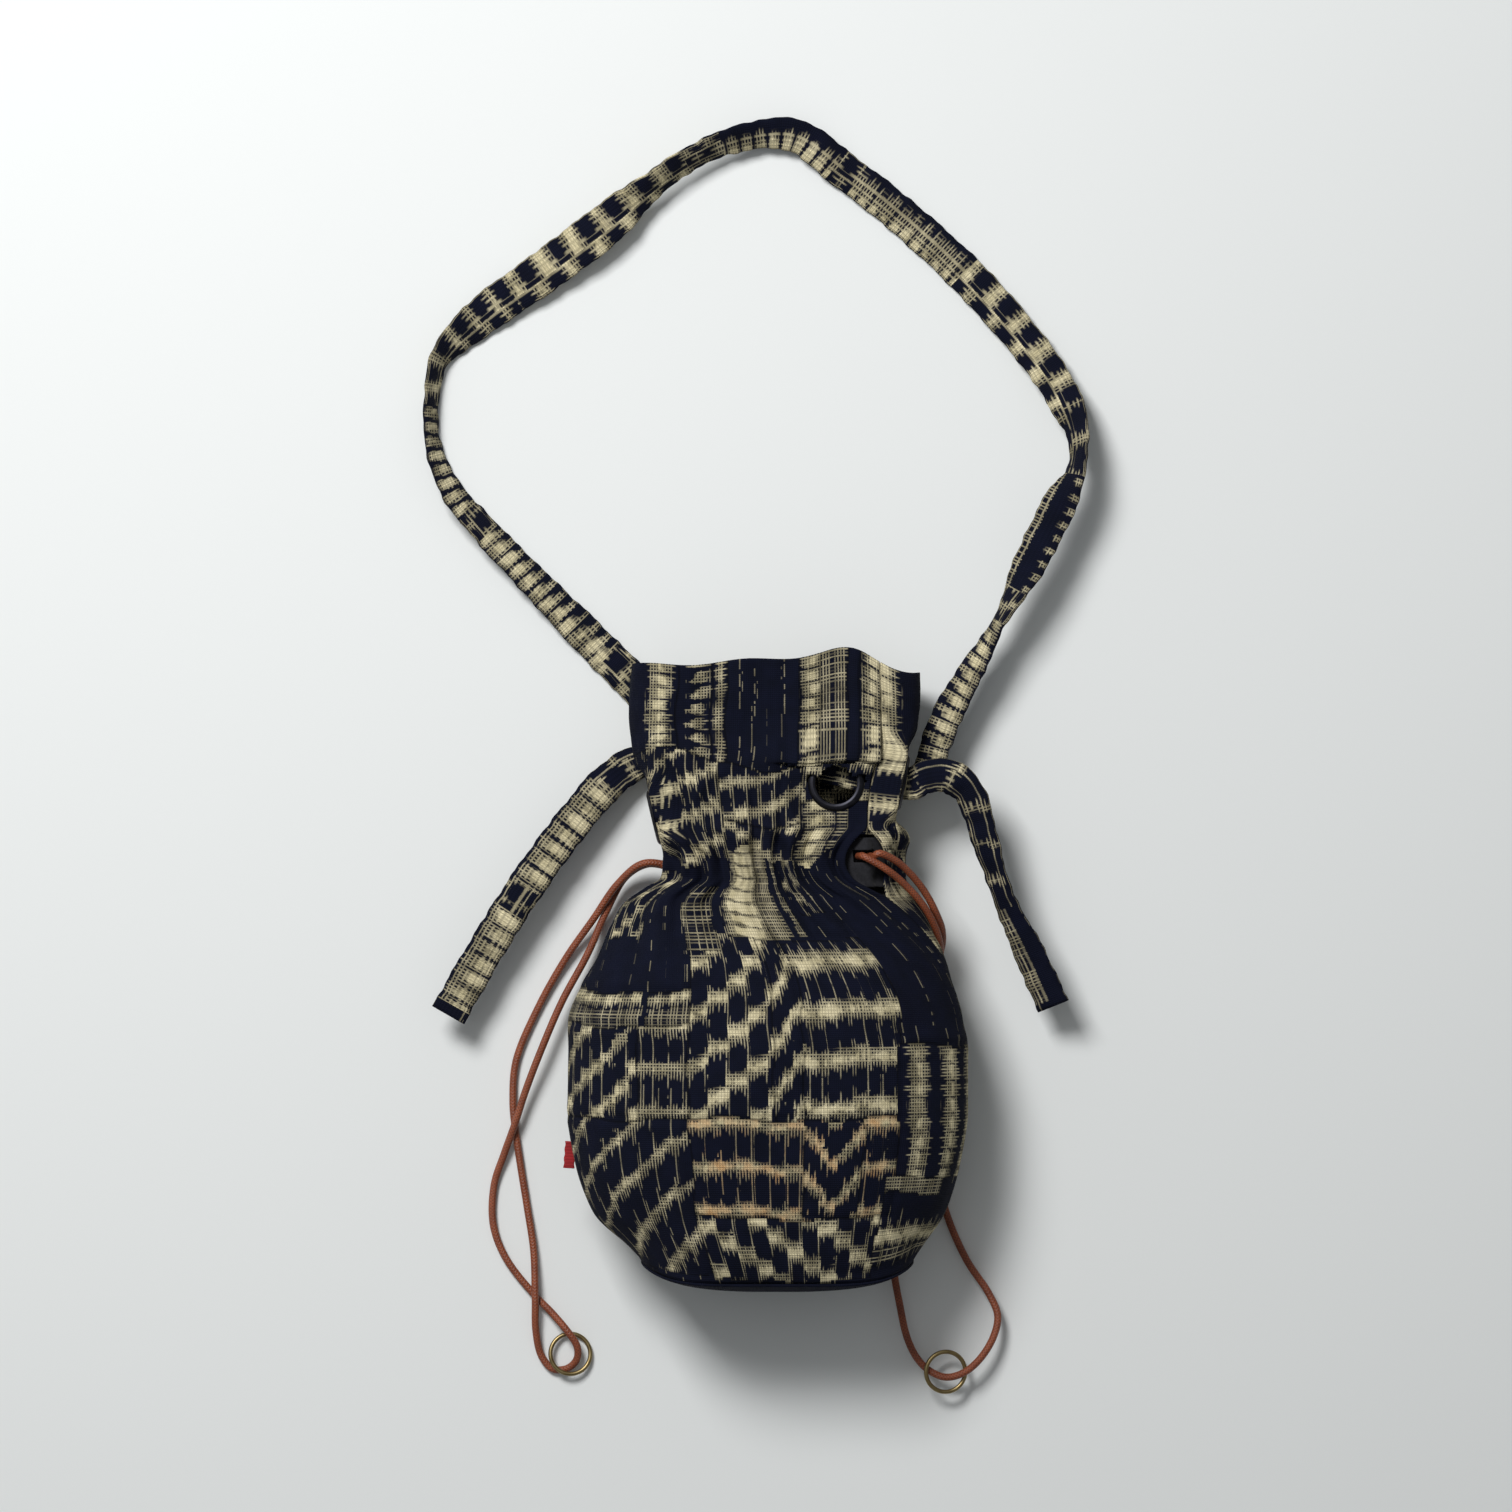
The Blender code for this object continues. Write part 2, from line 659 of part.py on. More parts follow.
def lining(finish):
    """Plain pouch inside the bag, from the base to the top of the cord channel."""
    floor = -BASE_BELOW + 1.5 * MM
    heights = [floor] + [-BASE_BELOW * share for share in BODY_ROWS[1:]]
    heights += [NECK_ABOVE * share for share in SHOULDER_ROWS]
    heights += [CHANNEL[0] - 1 * MM, CHANNEL[1] + 1 * MM, CHANNEL_ROWS[-1] + 1.5 * MM]
    centre = np.array((BASE_LEAN, BASE_LIFT + BASE_DEPTH / 2))
    upward = Vector((0, 1, 0))

    def pair(y, x, z, inward):
        point = Vector((x, shaped_y(y, x, z), z))
        return point, point + inward * LINING

    rows = []
    for scale, y in [(0.35, floor), (0.7, floor)] + [(1.0, y) for y in heights]:
        section = outline(y, lining_inset(y))
        right, _ = seams_at(y, section)
        row = []
        for j in range(LINING_COLUMNS):
            edge, (in_x, in_z) = on_outline(section, right + section[1][-1] * j / LINING_COLUMNS)
            inward = Vector((in_x, 0, in_z))
            if y == floor:
                inward = upward if scale < 1 else inward + upward
            row.append(pair(y, *between(centre, edge, scale), inward))
        rows.append(row)
    return shell("lining", rows, finish, wrap=True, pole=pair(floor, *centre, upward))


def channel_band(finish):
    """Black casing round the neck. It swells into the slits, where the cords come out through its holes."""
    depth = PLEAT_DEPTH + CLOTH + GAP
    swell = depth - GAP
    rows = []
    for y in CHANNEL_ROWS:
        section = outline(y)
        right, left = seams_at(y, section)
        reach = max(slit_at(y) - 1 * MM, 1 * MM)
        row = []
        for start, end in ((right, left), (left, section[1][-1] + right)):
            edge = CORD_HOLE_HALF_WIDTH
            inner = np.linspace(start + edge, end - edge, BAND_COLUMNS)
            for along in (start, *inner):
                away = min(along - start, end - along)
                bump = 0.0
                if away < reach:
                    open_share = slit_at(y) / SLIT_HALF_WIDTH
                    bump = swell * open_share * math.cos(math.pi * away / reach / 2) ** 2
                (x, z), (in_x, in_z) = on_outline(section, along)
                point, inward = Vector((x, y, z)), Vector((in_x, 0, in_z))
                row.append((point + inward * (depth - bump), point + inward * (depth - bump + BAND)))
        rows.append(row)
    half = BAND_COLUMNS + 1
    right_hole = {(2, 0), (2, 2 * half - 1)}
    left_hole = {(1, half - 1), (1, half)}
    return shell("channel_band", rows, finish, wrap=True, skip=right_hole | left_hole)


def smooth_path(points, per_span=24):
    """Points close together on a centripetal Catmull-Rom curve through the given ones."""
    points = np.array([tuple(point) for point in points], dtype=float)
    ends = 2 * points[[0, -1]] - points[[1, -2]]
    points = np.concatenate((ends[:1], points, ends[1:]))
    apart = np.linalg.norm(np.diff(points[:, :3], axis=0), axis=1)
    knots = np.concatenate(((0,), np.cumsum(apart**0.5)))
    path = []
    for i in range(1, len(points) - 2):
        k0, k1, k2, k3 = knots[i - 1 : i + 3]
        for t in np.linspace(k1, k2, per_span, endpoint=False):
            a1 = (points[i - 1] * (k1 - t) + points[i] * (t - k0)) / (k1 - k0)
            a2 = (points[i] * (k2 - t) + points[i + 1] * (t - k1)) / (k2 - k1)
            a3 = (points[i + 1] * (k3 - t) + points[i + 2] * (t - k2)) / (k3 - k2)
            b1 = (a1 * (k2 - t) + a2 * (t - k0)) / (k2 - k0)
            b2 = (a2 * (k3 - t) + a3 * (t - k1)) / (k3 - k1)
            path.append((b1 * (k2 - t) + b2 * (t - k1)) / (k2 - k1))
    path.append(points[-2])
    return np.array(path)


def spaced(path, step, tight_step):
    """Points along a path, step apart where it is straight and tight_step apart where it bends sharply."""
    length = np.concatenate(((0,), np.cumsum(np.linalg.norm(np.diff(path, axis=0), axis=1))))
    places = [0.0]
    while places[-1] < length[-1]:
        here = places[-1]
        ahead = [
            np.array([np.interp(here + reach, length, path[:, k]) for k in range(3)])
            for reach in (0, step / 2, step)
        ]
        first, second = ahead[1] - ahead[0], ahead[2] - ahead[1]
        size = np.linalg.norm(first) * np.linalg.norm(second)
        bend = math.acos(float(np.clip(first @ second / size, -1, 1))) if size > 0 else 0.0
        places.append(here + between(step, tight_step, min(bend / 0.35, 1.0)))
    places = np.array(places) * (length[-1] / places[-1])
    return np.stack([np.interp(places, length, path[:, k]) for k in range(3)], 1)


def seam_place(y, seam_name):
    """Point and inward direction of a seam on the outer section."""
    section = outline(y)
    right, left = seams_at(y, section)
    return on_outline(section, right if seam_name == "right" else left)


def channel_run(y, seam_name):
    """Cord inside the channel, once round the neck from one edge of its slit to the other."""
    section = outline(y, CORD_IN)
    loop, length, _ = section
    point, inward = seam_place(y, seam_name)
    start = length[int(np.argmin(np.hypot(*(loop - point - inward * CORD_IN).T)))]
    clear = CORD_SPREAD + CORD_BEND
    places = np.linspace(start + clear, start + length[-1] - clear, 30)
    return [Vector((p[0], y, p[1])) for p in (on_outline(section, place)[0] for place in places)]


def cord_exit(y, seam_name):
    """The two strands on their way out through the slit, each from the inside outwards."""
    point, (in_x, in_z) = seam_place(y, seam_name)
    inward, ahead = Vector((in_x, 0, in_z)), Vector((in_z, 0, -in_x))
    centre = Vector((point[0], y, point[1]))
    ways = ((CORD_SPREAD, CORD_IN - 1 * MM), (CORD_SPREAD, CORD_DIAMETER), (CORD_SPREAD, -CORD_OUT_OF_SLIT))
    return [[centre + ahead * (side * away) + inward * depth for away, depth in ways] for side in (1, -1)]


def drawcord(name, y, seam_name, free_points, finish):
    """One cord: round the neck in its channel, out of its slit, down to the ring and back in."""
    run = channel_run(y, seam_name)
    first, second = cord_exit(y, seam_name)
    if (first[0] - run[-1]).length > (second[0] - run[-1]).length:
        first, second = second, first
    free = [Vector(point) * MM for point in free_points]
    route = run + first + free + second[::-1]
    points = spaced(smooth_path(route, 10), 3.4 * CORD_DIAMETER, 2.0 * CORD_DIAMETER)
    points[:, 2] = np.maximum(points[:, 2], CORD_DIAMETER / 2 + FLOOR_CLEAR)
    data = bpy.data.curves.new(name, "CURVE")
    data.dimensions = "3D"
    spline = data.splines.new("POLY")
    spline.points.add(len(points) - 1)
    spline.points.foreach_set("co", np.c_[points, np.ones(len(points))].ravel())
    data.bevel_depth = CORD_DIAMETER / 2
    data.bevel_resolution = 2
    data.use_fill_caps = True
    return add_object(name, data, finish)


def turned(name, outline_points, sides, frame, finish):
    """Ring-shaped solid: a closed outline (radius, height) spun round the frame's Z axis."""
    mesh = bmesh.new()
    grid = []
    for i in range(sides):
        angle = 2 * math.pi * i / sides
        grid.append([
            mesh.verts.new((radius * math.cos(angle), radius * math.sin(angle), height))
            for radius, height in outline_points
        ])
    count = len(outline_points)
    for i in range(sides):
        for j in range(count):
            a, b = grid[i], grid[(i + 1) % sides]
            mesh.faces.new((a[j], b[j], b[(j + 1) % count], a[(j + 1) % count]))
    bmesh.ops.recalc_face_normals(mesh, faces=mesh.faces[:])
    data = bpy.data.meshes.new(name)
    mesh.to_mesh(data)
    mesh.free()
    data.shade_smooth()
    data.set_sharp_from_angle(angle=SHARP_EDGE)
    made = add_object(name, data, finish)
    made.matrix_world = frame
    return made


def eyelet(seat, finish):
    """Domed flange outside, barrel through the cloth, and the barrel's end curled over the washer inside."""
    bore = EYELET_BORE / 2
    barrel = bore + EYELET_WALL
    rim = EYELET_DIAMETER / 2
    washer_back = -CLOTH - WASHER_GAP - WASHER - GAP
    points = (
        (bore, washer_back - CURL),
        (bore, FLANGE * 0.9),
        (bore + FLANGE_ROUNDING, GAP + FLANGE),
        (rim - 0.8 * FLANGE_ROUNDING, GAP + FLANGE * 0.7),
        (rim, GAP),
        (barrel, GAP),
        (barrel, washer_back),
        (barrel + CURL_REACH, washer_back),
        (barrel + CURL_REACH - 0.2 * MM, washer_back - CURL),
    )
    return turned("eyelet_" + seat.name, points, EYELET_SIDES, seat.frame(), finish)


def washer(seat, finish):
    """Flat ring round the barrel, on the inside of the cloth."""
    inner = EYELET_BORE / 2 + EYELET_WALL + GAP
    outer = EYELET_DIAMETER / 2 - WASHER_INSIDE_RIM
    top = -CLOTH - WASHER_GAP
    points = ((inner, top - WASHER), (inner, top), (outer, top), (outer, top - WASHER))
    return turned("washer_" + seat.name, points, EYELET_SIDES, seat.frame(), finish)


def cord_ring(name, centre, lean, finish):
    """Round wire ring, lifted on the side that lies on its cord. Lean is (direction, angle) in degrees."""
    wire = RING_WIRE / 2
    middle = (RING_DIAMETER - RING_WIRE) / 2
    points = [
        (middle + wire * math.cos(a), wire * math.sin(a))
        for a in (2 * math.pi * k / WIRE_SIDES for k in range(WIRE_SIDES))
    ]
    direction, angle = (math.radians(value) for value in lean)
    axis = Vector((math.sin(direction), -math.cos(direction), 0))
    frame = Matrix.Translation(centre) @ Matrix.Rotation(angle, 4, axis)
    return turned(name, points, RING_SIDES, frame, finish)


def bight(seat, apart, reach):
    """Strap turning back inside an eyelet: in on one side of the bore, round, and out on the other."""
    inward = -seat.normal
    apart = Vector(apart).normalized()
    offset = apart * ((STRAP_THICKNESS + BIGHT_GAP) / 2)
    across = inward.cross(apart)
    rows = []
    for side in (-1, 1):
        depths = (*BIGHT_LEGS, reach - offset.length)
        leg = [seat.centre + offset * side + inward * depth for depth in depths]
        rows.append(leg if side < 0 else leg[::-1])
    tip = seat.centre + inward * reach
    return [(point, across) for point in rows[0] + [tip] + rows[1]]


def strap_route():
    """Control rows of the strap: position, direction across it or None, roll and share of the width."""
    rows = []

    def free(points, middle=Vector()):
        for x, y, z, roll, share in points:
            place = middle + Vector((x, y, z)) * MM
            rows.append((place, None, math.radians(roll), share))

    def turn_back(points):
        for point, across in points:
            rows.append((point, across, 0.0, STRAP_IN_EYELET))

    left, right = SEAT["back_left"], SEAT["back_right"]
    free(LEFT_TAIL)
    free(LEFT_ARRIVAL, left.centre)
    turn_back(bight(left, LEFT_BIGHT_APART, LEFT_BIGHT_REACH))
    free(LEFT_DEPARTURE, left.centre)
    free(LOOP)
    free(RIGHT_ARRIVAL, right.centre)
    turn_back(bight(right, RIGHT_BIGHT_APART, RIGHT_BIGHT_REACH))
    free(RIGHT_DEPARTURE, right.centre)
    free(RIGHT_TAIL)
    return rows


def strap_frames():
    """Positions, directions across and widths along the strap, closer together in its turns."""
    rows = strap_route()
    centres = np.array([tuple(row[0]) for row in rows])
    heading = np.gradient(centres, axis=0)
    across = []
    for (_, given, roll, _), ahead in zip(rows, heading):
        ahead = Vector(ahead).normalized()
        level = given or Vector((0, 0, 1)).cross(ahead).normalized()
        lifted = ahead.cross(level)
        direction = (level * math.cos(roll) + lifted * math.sin(roll)).normalized()
        if across and direction.dot(across[-1]) < 0:
            direction = -direction
        across.append(direction)
    widths = [row[3] * STRAP_WIDTH for row in rows]
    for i, (direction, width) in enumerate(zip(across, widths)):
        level = math.sqrt(max(1 - direction.z**2, 0))
        reach = (abs(direction.z) * width + level * STRAP_THICKNESS) / 2
        if rows[i][1] is None:
            centres[i, 2] = max(centres[i, 2], reach + 0.1 * MM)
    columns = np.c_[centres, np.array([tuple(item) for item in across]), widths]
    fine = smooth_path(columns, 24)
    steps = np.diff(fine[:, :3], axis=0)
    length = np.linalg.norm(steps, axis=1)
    unit = steps / length[:, None]
    bend = np.arccos(np.clip((unit[1:] * unit[:-1]).sum(1), -1, 1))
    chosen, run, turn = [0], 0.0, 0.0
    for i in range(1, len(fine) - 1):
        run += length[i - 1]
        turn += bend[i - 1]
        if run >= STRAP_STEP or turn >= STRAP_TURN:
            chosen.append(i)
            run, turn = 0.0, 0.0
    chosen.append(len(fine) - 1)
    ahead = np.gradient(fine[:, :3], axis=0)
    return fine[chosen], ahead[chosen]


def shoulder_strap(finish):
    """One long flat cloth tube: tail, turn in the left eyelet, loop, turn in the right one, tail."""
    frames, headings = strap_frames()
    mesh = bmesh.new()
    rings = []
    for row, ahead in zip(frames, headings):
        centre, across, width = Vector(row[:3]), Vector(row[3:6]), row[6]
        ahead = Vector(ahead).normalized()
        across = (across - ahead * across.dot(ahead)).normalized()
        up = ahead.cross(across)
        ring = []
        for k in range(STRAP_SIDES):
            angle = 2 * math.pi * (k + 0.5) / STRAP_SIDES
            c, s = math.cos(angle), math.sin(angle)
            flat = math.copysign(abs(c) ** STRAP_SQUARENESS, c) * width / 2
            tall = math.copysign(abs(s) ** STRAP_SQUARENESS, s) * STRAP_THICKNESS / 2
            ring.append(centre + across * flat + up * tall)
        lift = max(FLOOR_CLEAR - min(point.z for point in ring), 0.0)
        rings.append([mesh.verts.new(point + Vector((0, 0, lift))) for point in ring])
    for first, second in zip(rings[:-1], rings[1:]):
        for k in range(STRAP_SIDES):
            n = (k + 1) % STRAP_SIDES
            mesh.faces.new((first[k], first[n], second[n], second[k]))
    mesh.faces.new(rings[0][::-1])
    mesh.faces.new(rings[-1])
    bmesh.ops.recalc_face_normals(mesh, faces=mesh.faces[:])
    data = bpy.data.meshes.new("shoulder_strap")
    mesh.to_mesh(data)
    mesh.free()
    data.shade_smooth()
    return add_object("shoulder_strap", data, finish)


def seam_tab(finish):
    """Small folded tab standing out of the left side seam."""
    ends = []
    for y in (-TAB_BELOW - TAB_HEIGHT / 2, -TAB_BELOW + TAB_HEIGHT / 2):
        section = outline(y)
        (x, z), _ = on_outline(section, section[2])
        ends.append(Vector((x, y, z)))
    along = (ends[1] - ends[0]).normalized()
    upward = Vector((0, 0, 1))
    inward = along.cross(upward)
    turned_to = Matrix((inward, along, upward)).transposed().to_4x4()
    size = Vector((TAB_REACH, TAB_HEIGHT, TAB_THICKNESS))
    mesh = bmesh.new()
    bmesh.ops.create_cube(mesh, size=1.0, matrix=Matrix.Diagonal(size).to_4x4())
    data = bpy.data.meshes.new("seam_tab")
    mesh.to_mesh(data)
    mesh.free()
    made = add_object("seam_tab", data, finish)
    # Stands a little further out, because the seam bows outwards between the tab's ends
    middle = (ends[0] + ends[1]) / 2 - inward * (2 * GAP + TAB_REACH / 2)
    made.matrix_world = Matrix.Translation(middle) @ turned_to
    return made


def build():
    clear_scene()
    cloth = material("kasuri_cloth", INDIGO, 0.9)
    black = material("black_cloth", BLACK, 0.9)
    cord = material("waxed_cord", RUST, 0.6)
    dark_metal = material("dark_metal", GUNMETAL, 0.35, 1.0)
    brass = material("old_brass", BRASS, 0.4, 1.0)
    red = material("red_tape", RED, 0.9)
    outer_panel("front_panel", FRONT_COLUMNS, FRONT_PLEATS, cloth)
    outer_panel("back_panel", BACK_COLUMNS, BACK_PLEATS, cloth)
    base_panel(cloth)
    lining(black)
    channel_band(black)
    for seat in SEATS:
        eyelet(seat, dark_metal)
        washer(seat, dark_metal)
    drawcord("drawcord_left", NECK_ABOVE - CORD_PITCH / 2, "left", LEFT_CORD, cord)
    drawcord("drawcord_right", NECK_ABOVE + CORD_PITCH / 2, "right", RIGHT_CORD, cord)
    cord_ring("cord_ring_left", LEFT_RING, LEFT_RING_LEAN, brass)
    cord_ring("cord_ring_right", RIGHT_RING, RIGHT_RING_LEAN, brass)
    shoulder_strap(cloth)
    seam_tab(red)


build()
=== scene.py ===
# %% [markdown]
# # A drawstring shoulder bag in patchwork cloth
# The bag lies on its back and is seen from straight above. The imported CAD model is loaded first. It is the
# frame: every piece made below takes its place and its outer size from it.

# %% Load the frame
import math

import bpy
import numpy as np
from mathutils import Matrix, Vector


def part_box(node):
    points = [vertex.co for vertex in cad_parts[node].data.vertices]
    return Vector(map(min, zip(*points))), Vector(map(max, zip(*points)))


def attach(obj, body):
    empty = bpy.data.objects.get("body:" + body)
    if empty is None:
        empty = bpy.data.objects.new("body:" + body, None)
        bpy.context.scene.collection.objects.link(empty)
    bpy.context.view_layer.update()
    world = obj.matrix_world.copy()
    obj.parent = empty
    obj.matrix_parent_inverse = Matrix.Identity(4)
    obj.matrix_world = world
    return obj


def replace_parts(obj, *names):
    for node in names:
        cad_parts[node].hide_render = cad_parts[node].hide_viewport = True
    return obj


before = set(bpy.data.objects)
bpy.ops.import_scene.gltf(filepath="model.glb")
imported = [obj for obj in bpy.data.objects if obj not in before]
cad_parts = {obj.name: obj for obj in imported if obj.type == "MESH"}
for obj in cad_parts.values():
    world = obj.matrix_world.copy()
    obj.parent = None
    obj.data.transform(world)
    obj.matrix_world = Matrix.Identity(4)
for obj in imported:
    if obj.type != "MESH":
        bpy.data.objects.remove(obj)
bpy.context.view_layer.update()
MM = 0.001
print("nodes:", ", ".join(sorted(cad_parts)))

# %% [markdown]
# ## Camera, floor and light
# The photograph was taken with the camera straight above, from far off, so parallel edges stay parallel.
# A long lens four metres up gives the same. The floor is a pale sheet of paper, and a large soft lamp at the
# upper left gives the soft shadows at the lower right.

# %% Camera, floor, lamps
def linear(code):
    """Linear colour of an sRGB code: ((c + 0.055) / 1.055) ** 2.4 for each channel c, c / 12.92 if dark."""
    values = np.array([int(code[i:i + 2], 16) / 255 for i in (1, 3, 5)])
    values = np.where(values <= 0.04045, values / 12.92, ((values + 0.055) / 1.055) ** 2.4)
    return (*values.tolist(), 1.0)


PIXEL = 0.55 * MM
VIEW_WIDTH = 1512 * PIXEL
CAMERA_HEIGHT, SENSOR = 4.0, 36
PICTURE_MIDDLE = (-12 * PIXEL, 334 * PIXEL)
FLOOR_HALF, FLOOR_BELOW = 4, 0.4 * MM
scene = bpy.context.scene
scene.view_settings.view_transform = "Standard"
lens = bpy.data.cameras.new("camera")
lens.sensor_width = SENSOR
lens.lens = SENSOR * CAMERA_HEIGHT / VIEW_WIDTH
camera = bpy.data.objects.new("camera", lens)
camera.location = (*PICTURE_MIDDLE, CAMERA_HEIGHT)
scene.collection.objects.link(camera)
scene.camera = camera


def feed(tree, target, feeds):
    """Sets or links a node's inputs, by name or in order. A node stands for its first output in use."""
    for key, value in feeds.items() if isinstance(feeds, dict) else enumerate(feeds):
        if isinstance(value, bpy.types.Node):
            value = next(socket for socket in value.outputs if socket.enabled)
        if isinstance(value, bpy.types.NodeSocket):
            tree.links.new(value, target.inputs[key])
        else:
            target.inputs[key].default_value = value
    return target


def node(tree, kind, feeds=(), **settings):
    """Adds a shader node with its own settings, and feeds its inputs."""
    made = tree.nodes.new("ShaderNode" + kind)
    for name, value in settings.items():
        setattr(made, name, value)
    return feed(tree, made, feeds)


def new_material(name):
    """A new material, its node tree and its Principled shader."""
    made = bpy.data.materials.new(name)
    made.use_nodes = True
    return made, made.node_tree, made.node_tree.nodes["Principled BSDF"]


# Matt white card: a pale, slightly cold grey with no gloss.
paper, tree, shader = new_material("pale_paper")
feed(tree, shader, {"Base Color": linear("#E2E4E3"), "Roughness": 0.9, "Specular IOR Level": 0.1})
floor_mesh = bpy.data.meshes.new("floor")
corners = [(FLOOR_HALF * x, FLOOR_HALF * y, 0) for x, y in ((-1, -1), (1, -1), (1, 1), (-1, 1))]
floor_mesh.from_pydata(corners, [], [(0, 1, 2, 3)])
floor_mesh.materials.append(paper)
floor = bpy.data.objects.new("floor", floor_mesh)
floor.location.z = -FLOOR_BELOW
scene.collection.objects.link(floor)


def lamp(name, place, aim, size, power):
    """Square area lamp at a place, turned to face a point."""
    data = bpy.data.lights.new(name, "AREA")
    data.size, data.energy = size, power
    made = bpy.data.objects.new(name, data)
    made.location = place
    made.rotation_euler = (Vector(aim) - Vector(place)).to_track_quat("-Z", "Y").to_euler()
    scene.collection.objects.link(made)


lamp("key_lamp", (-0.78, 1.35, 1.9), (-0.05, 0.2, 0), 0.75, 53)
lamp("fill_lamp", (-0.6, 0.6, 3.2), (0, 0.15, 0), 2.4, 7.5)
sky = bpy.data.worlds.new("sky")
sky.use_nodes = True
sky.node_tree.nodes["Background"].inputs["Color"].default_value = linear("#F1F5F7")
sky.node_tree.nodes["Background"].inputs["Strength"].default_value = 0.22
scene.world = sky
print("camera height", CAMERA_HEIGHT, "m, view width", round(VIEW_WIDTH, 4), "m")

# %% [markdown]
# ## The form of the bag
# A soft bag is a loft: sections across it, from the base over the belly and the tight neck up to the collar.
# Each section is a rounded box that is flat where it rests. The sizes repeat those of the CAD model, so the
# cloth lies where its solids are. A table of sections is read with a cubic that never overshoots.

# %% Sections of the bag
BASE_BELOW, NECK_ABOVE, COLLAR_HEIGHT = 97 * MM, 126 * MM, 112 * MM
BASE_WIDTH, BODY_WIDTH, NECK_WIDTH, COLLAR_WIDTH = 148 * MM, 217 * MM, 126 * MM, 156 * MM
BASE_DEPTH, BODY_DEPTH, NECK_DEPTH = 88 * MM, 106 * MM, 46 * MM
COLLAR_ROOT_DEPTH, MOUTH_DEPTH, MOUTH_LIFT = 36 * MM, 30 * MM, 2.5 * MM
BASE_LIFT, BODY_SAG, NECK_LIFT, COLLAR_LIFT = 3 * MM, 3 * MM, 14 * MM, 15.5 * MM
BASE_LEAN, NECK_LEAN, COLLAR_LEAN = 5 * MM, 8 * MM, 4 * MM
COLLAR_CORNER, BODY_ROUNDNESS = 14 * MM, 2.3
CLOTH, LINING, BAND = 1.4 * MM, 0.8 * MM, 0.8 * MM
GAP, SLACK, PLEAT_DEPTH, PLEAT_SWING = 0.3 * MM, 0.8 * MM, 4 * MM, 0.018
SEAM_GAP, SLIT_LENGTH, SLIT_HALF_WIDTH = 0.8 * MM, 37 * MM, 12 * MM
RIGHT_TURN, LEFT_TURN = 30 * MM, 17 * MM
BASE_BOW, BASE_CORNER_RISE = 4 * MM, 8 * MM
MOUTH_PEAK, MOUTH_PEAK_X, MOUTH_PEAK_HALF_WIDTH = 4 * MM, 42 * MM, 15 * MM
RIGHT_DROP, LEFT_DROP, MOUTH_WAVE, MOUTH_WAVE_REACH = 9 * MM, 4.5 * MM, 0.9 * MM, 8.5 * MM


def between(first, second, share):
    return first + (second - first) * share


def section_table():
    """Rows of y, half width, centre, back, front, corner x, corner z, roundness, from base to mouth."""
    base, body, neck, collar = BASE_WIDTH / 2, BODY_WIDTH / 2, NECK_WIDTH / 2, COLLAR_WIDTH / 2
    low, high, front, half = -BASE_BELOW, NECK_ABOVE, BODY_DEPTH, BODY_DEPTH / 2
    lift, ring = NECK_LIFT, NECK_DEPTH / 2
    neck_front, root = lift + NECK_DEPTH, COLLAR_LIFT + COLLAR_ROOT_DEPTH
    mouth_back = COLLAR_LIFT + MOUTH_LIFT
    mouth_front = mouth_back + MOUTH_DEPTH
    sag, corner, full, lean, top = -BODY_SAG, COLLAR_CORNER, BODY_ROUNDNESS, NECK_LEAN, COLLAR_LEAN
    down = np.array([between(body, neck, s) for s in (0.035, 0.177, 0.324, 0.55, 0.69, 0.92)])
    up = np.array([between(neck, collar, s) for s in (0.2, 0.37, 0.64, 0.9)])
    y_up = np.array([high + COLLAR_HEIGHT * s for s in (0.15, 0.3, 0.45, 0.59, 0.79, 1)])
    front_up = between(neck_front, root, 0.6), between(root, mouth_front, 0.6)
    return np.array((
        (low, base, BASE_LEAN, BASE_LIFT, BASE_LIFT + BASE_DEPTH, base * 0.7, half * 0.72, full),
        (low * 0.91, between(base, body, 0.19), BASE_LEAN * 0.8, 1 * MM, front * 0.91, body * 0.8,
         half * 0.85, full),
        (low * 0.66, between(base, body, 0.625), 0.8 * MM, sag * 0.6, front * 0.97, body * 0.9, half, full),
        (low * 0.38, between(base, body, 0.88), 0, sag, front, body * 0.95, half, full),
        (low * 0.08, body, 0, sag, front, body, half, full),
        (high * 0.2, body, 0, sag, front * 0.98, body, half, full),
        (high * 0.33, down[0], -1.6 * MM, sag * 0.9, front * 0.95, body * 0.95, half * 0.97, full),
        (high * 0.48, down[1], -0.3 * MM, sag * 0.4, front * 0.9, body * 0.85, half * 0.92, full),
        (high * 0.6, down[2], 2 * MM, lift * 0.1, front * 0.84, body * 0.75, half * 0.85, full),
        (high * 0.75, down[3], lean * 0.4, lift * 0.45, front * 0.73, body * 0.55, half * 0.65, 2.2),
        (high * 0.82, down[4], lean * 0.45, lift * 0.65, front * 0.67, body * 0.4, half * 0.55, 2.1),
        (high * 0.89, down[5], lean * 0.85, lift * 0.87, front * 0.61, ring * 1.15, ring * 1.05, 2),
        (high * 0.93, neck * 0.975, lean * 1.2, lift * 0.95, front * 0.58, ring, ring, 2),
        (high, neck, lean, lift, neck_front, ring, ring, 2),
        (y_up[0], up[0], lean * 0.65, lift, front_up[0], ring * 0.8, ring * 0.8, 2),
        (y_up[1], up[1], top, COLLAR_LIFT, root, corner, corner, 2),
        (y_up[2], up[2], top * 0.7, COLLAR_LIFT, root, corner, corner, 2),
        (y_up[3], up[3], top, COLLAR_LIFT, front_up[1], corner, corner, 2),
        (y_up[4], collar, top, mouth_back, mouth_front, corner * 0.95, corner * 0.95, 2),
        (y_up[5], collar * 0.99, top, mouth_back, mouth_front, corner * 0.9, corner * 0.9, 2),
    ))


TABLE = section_table()


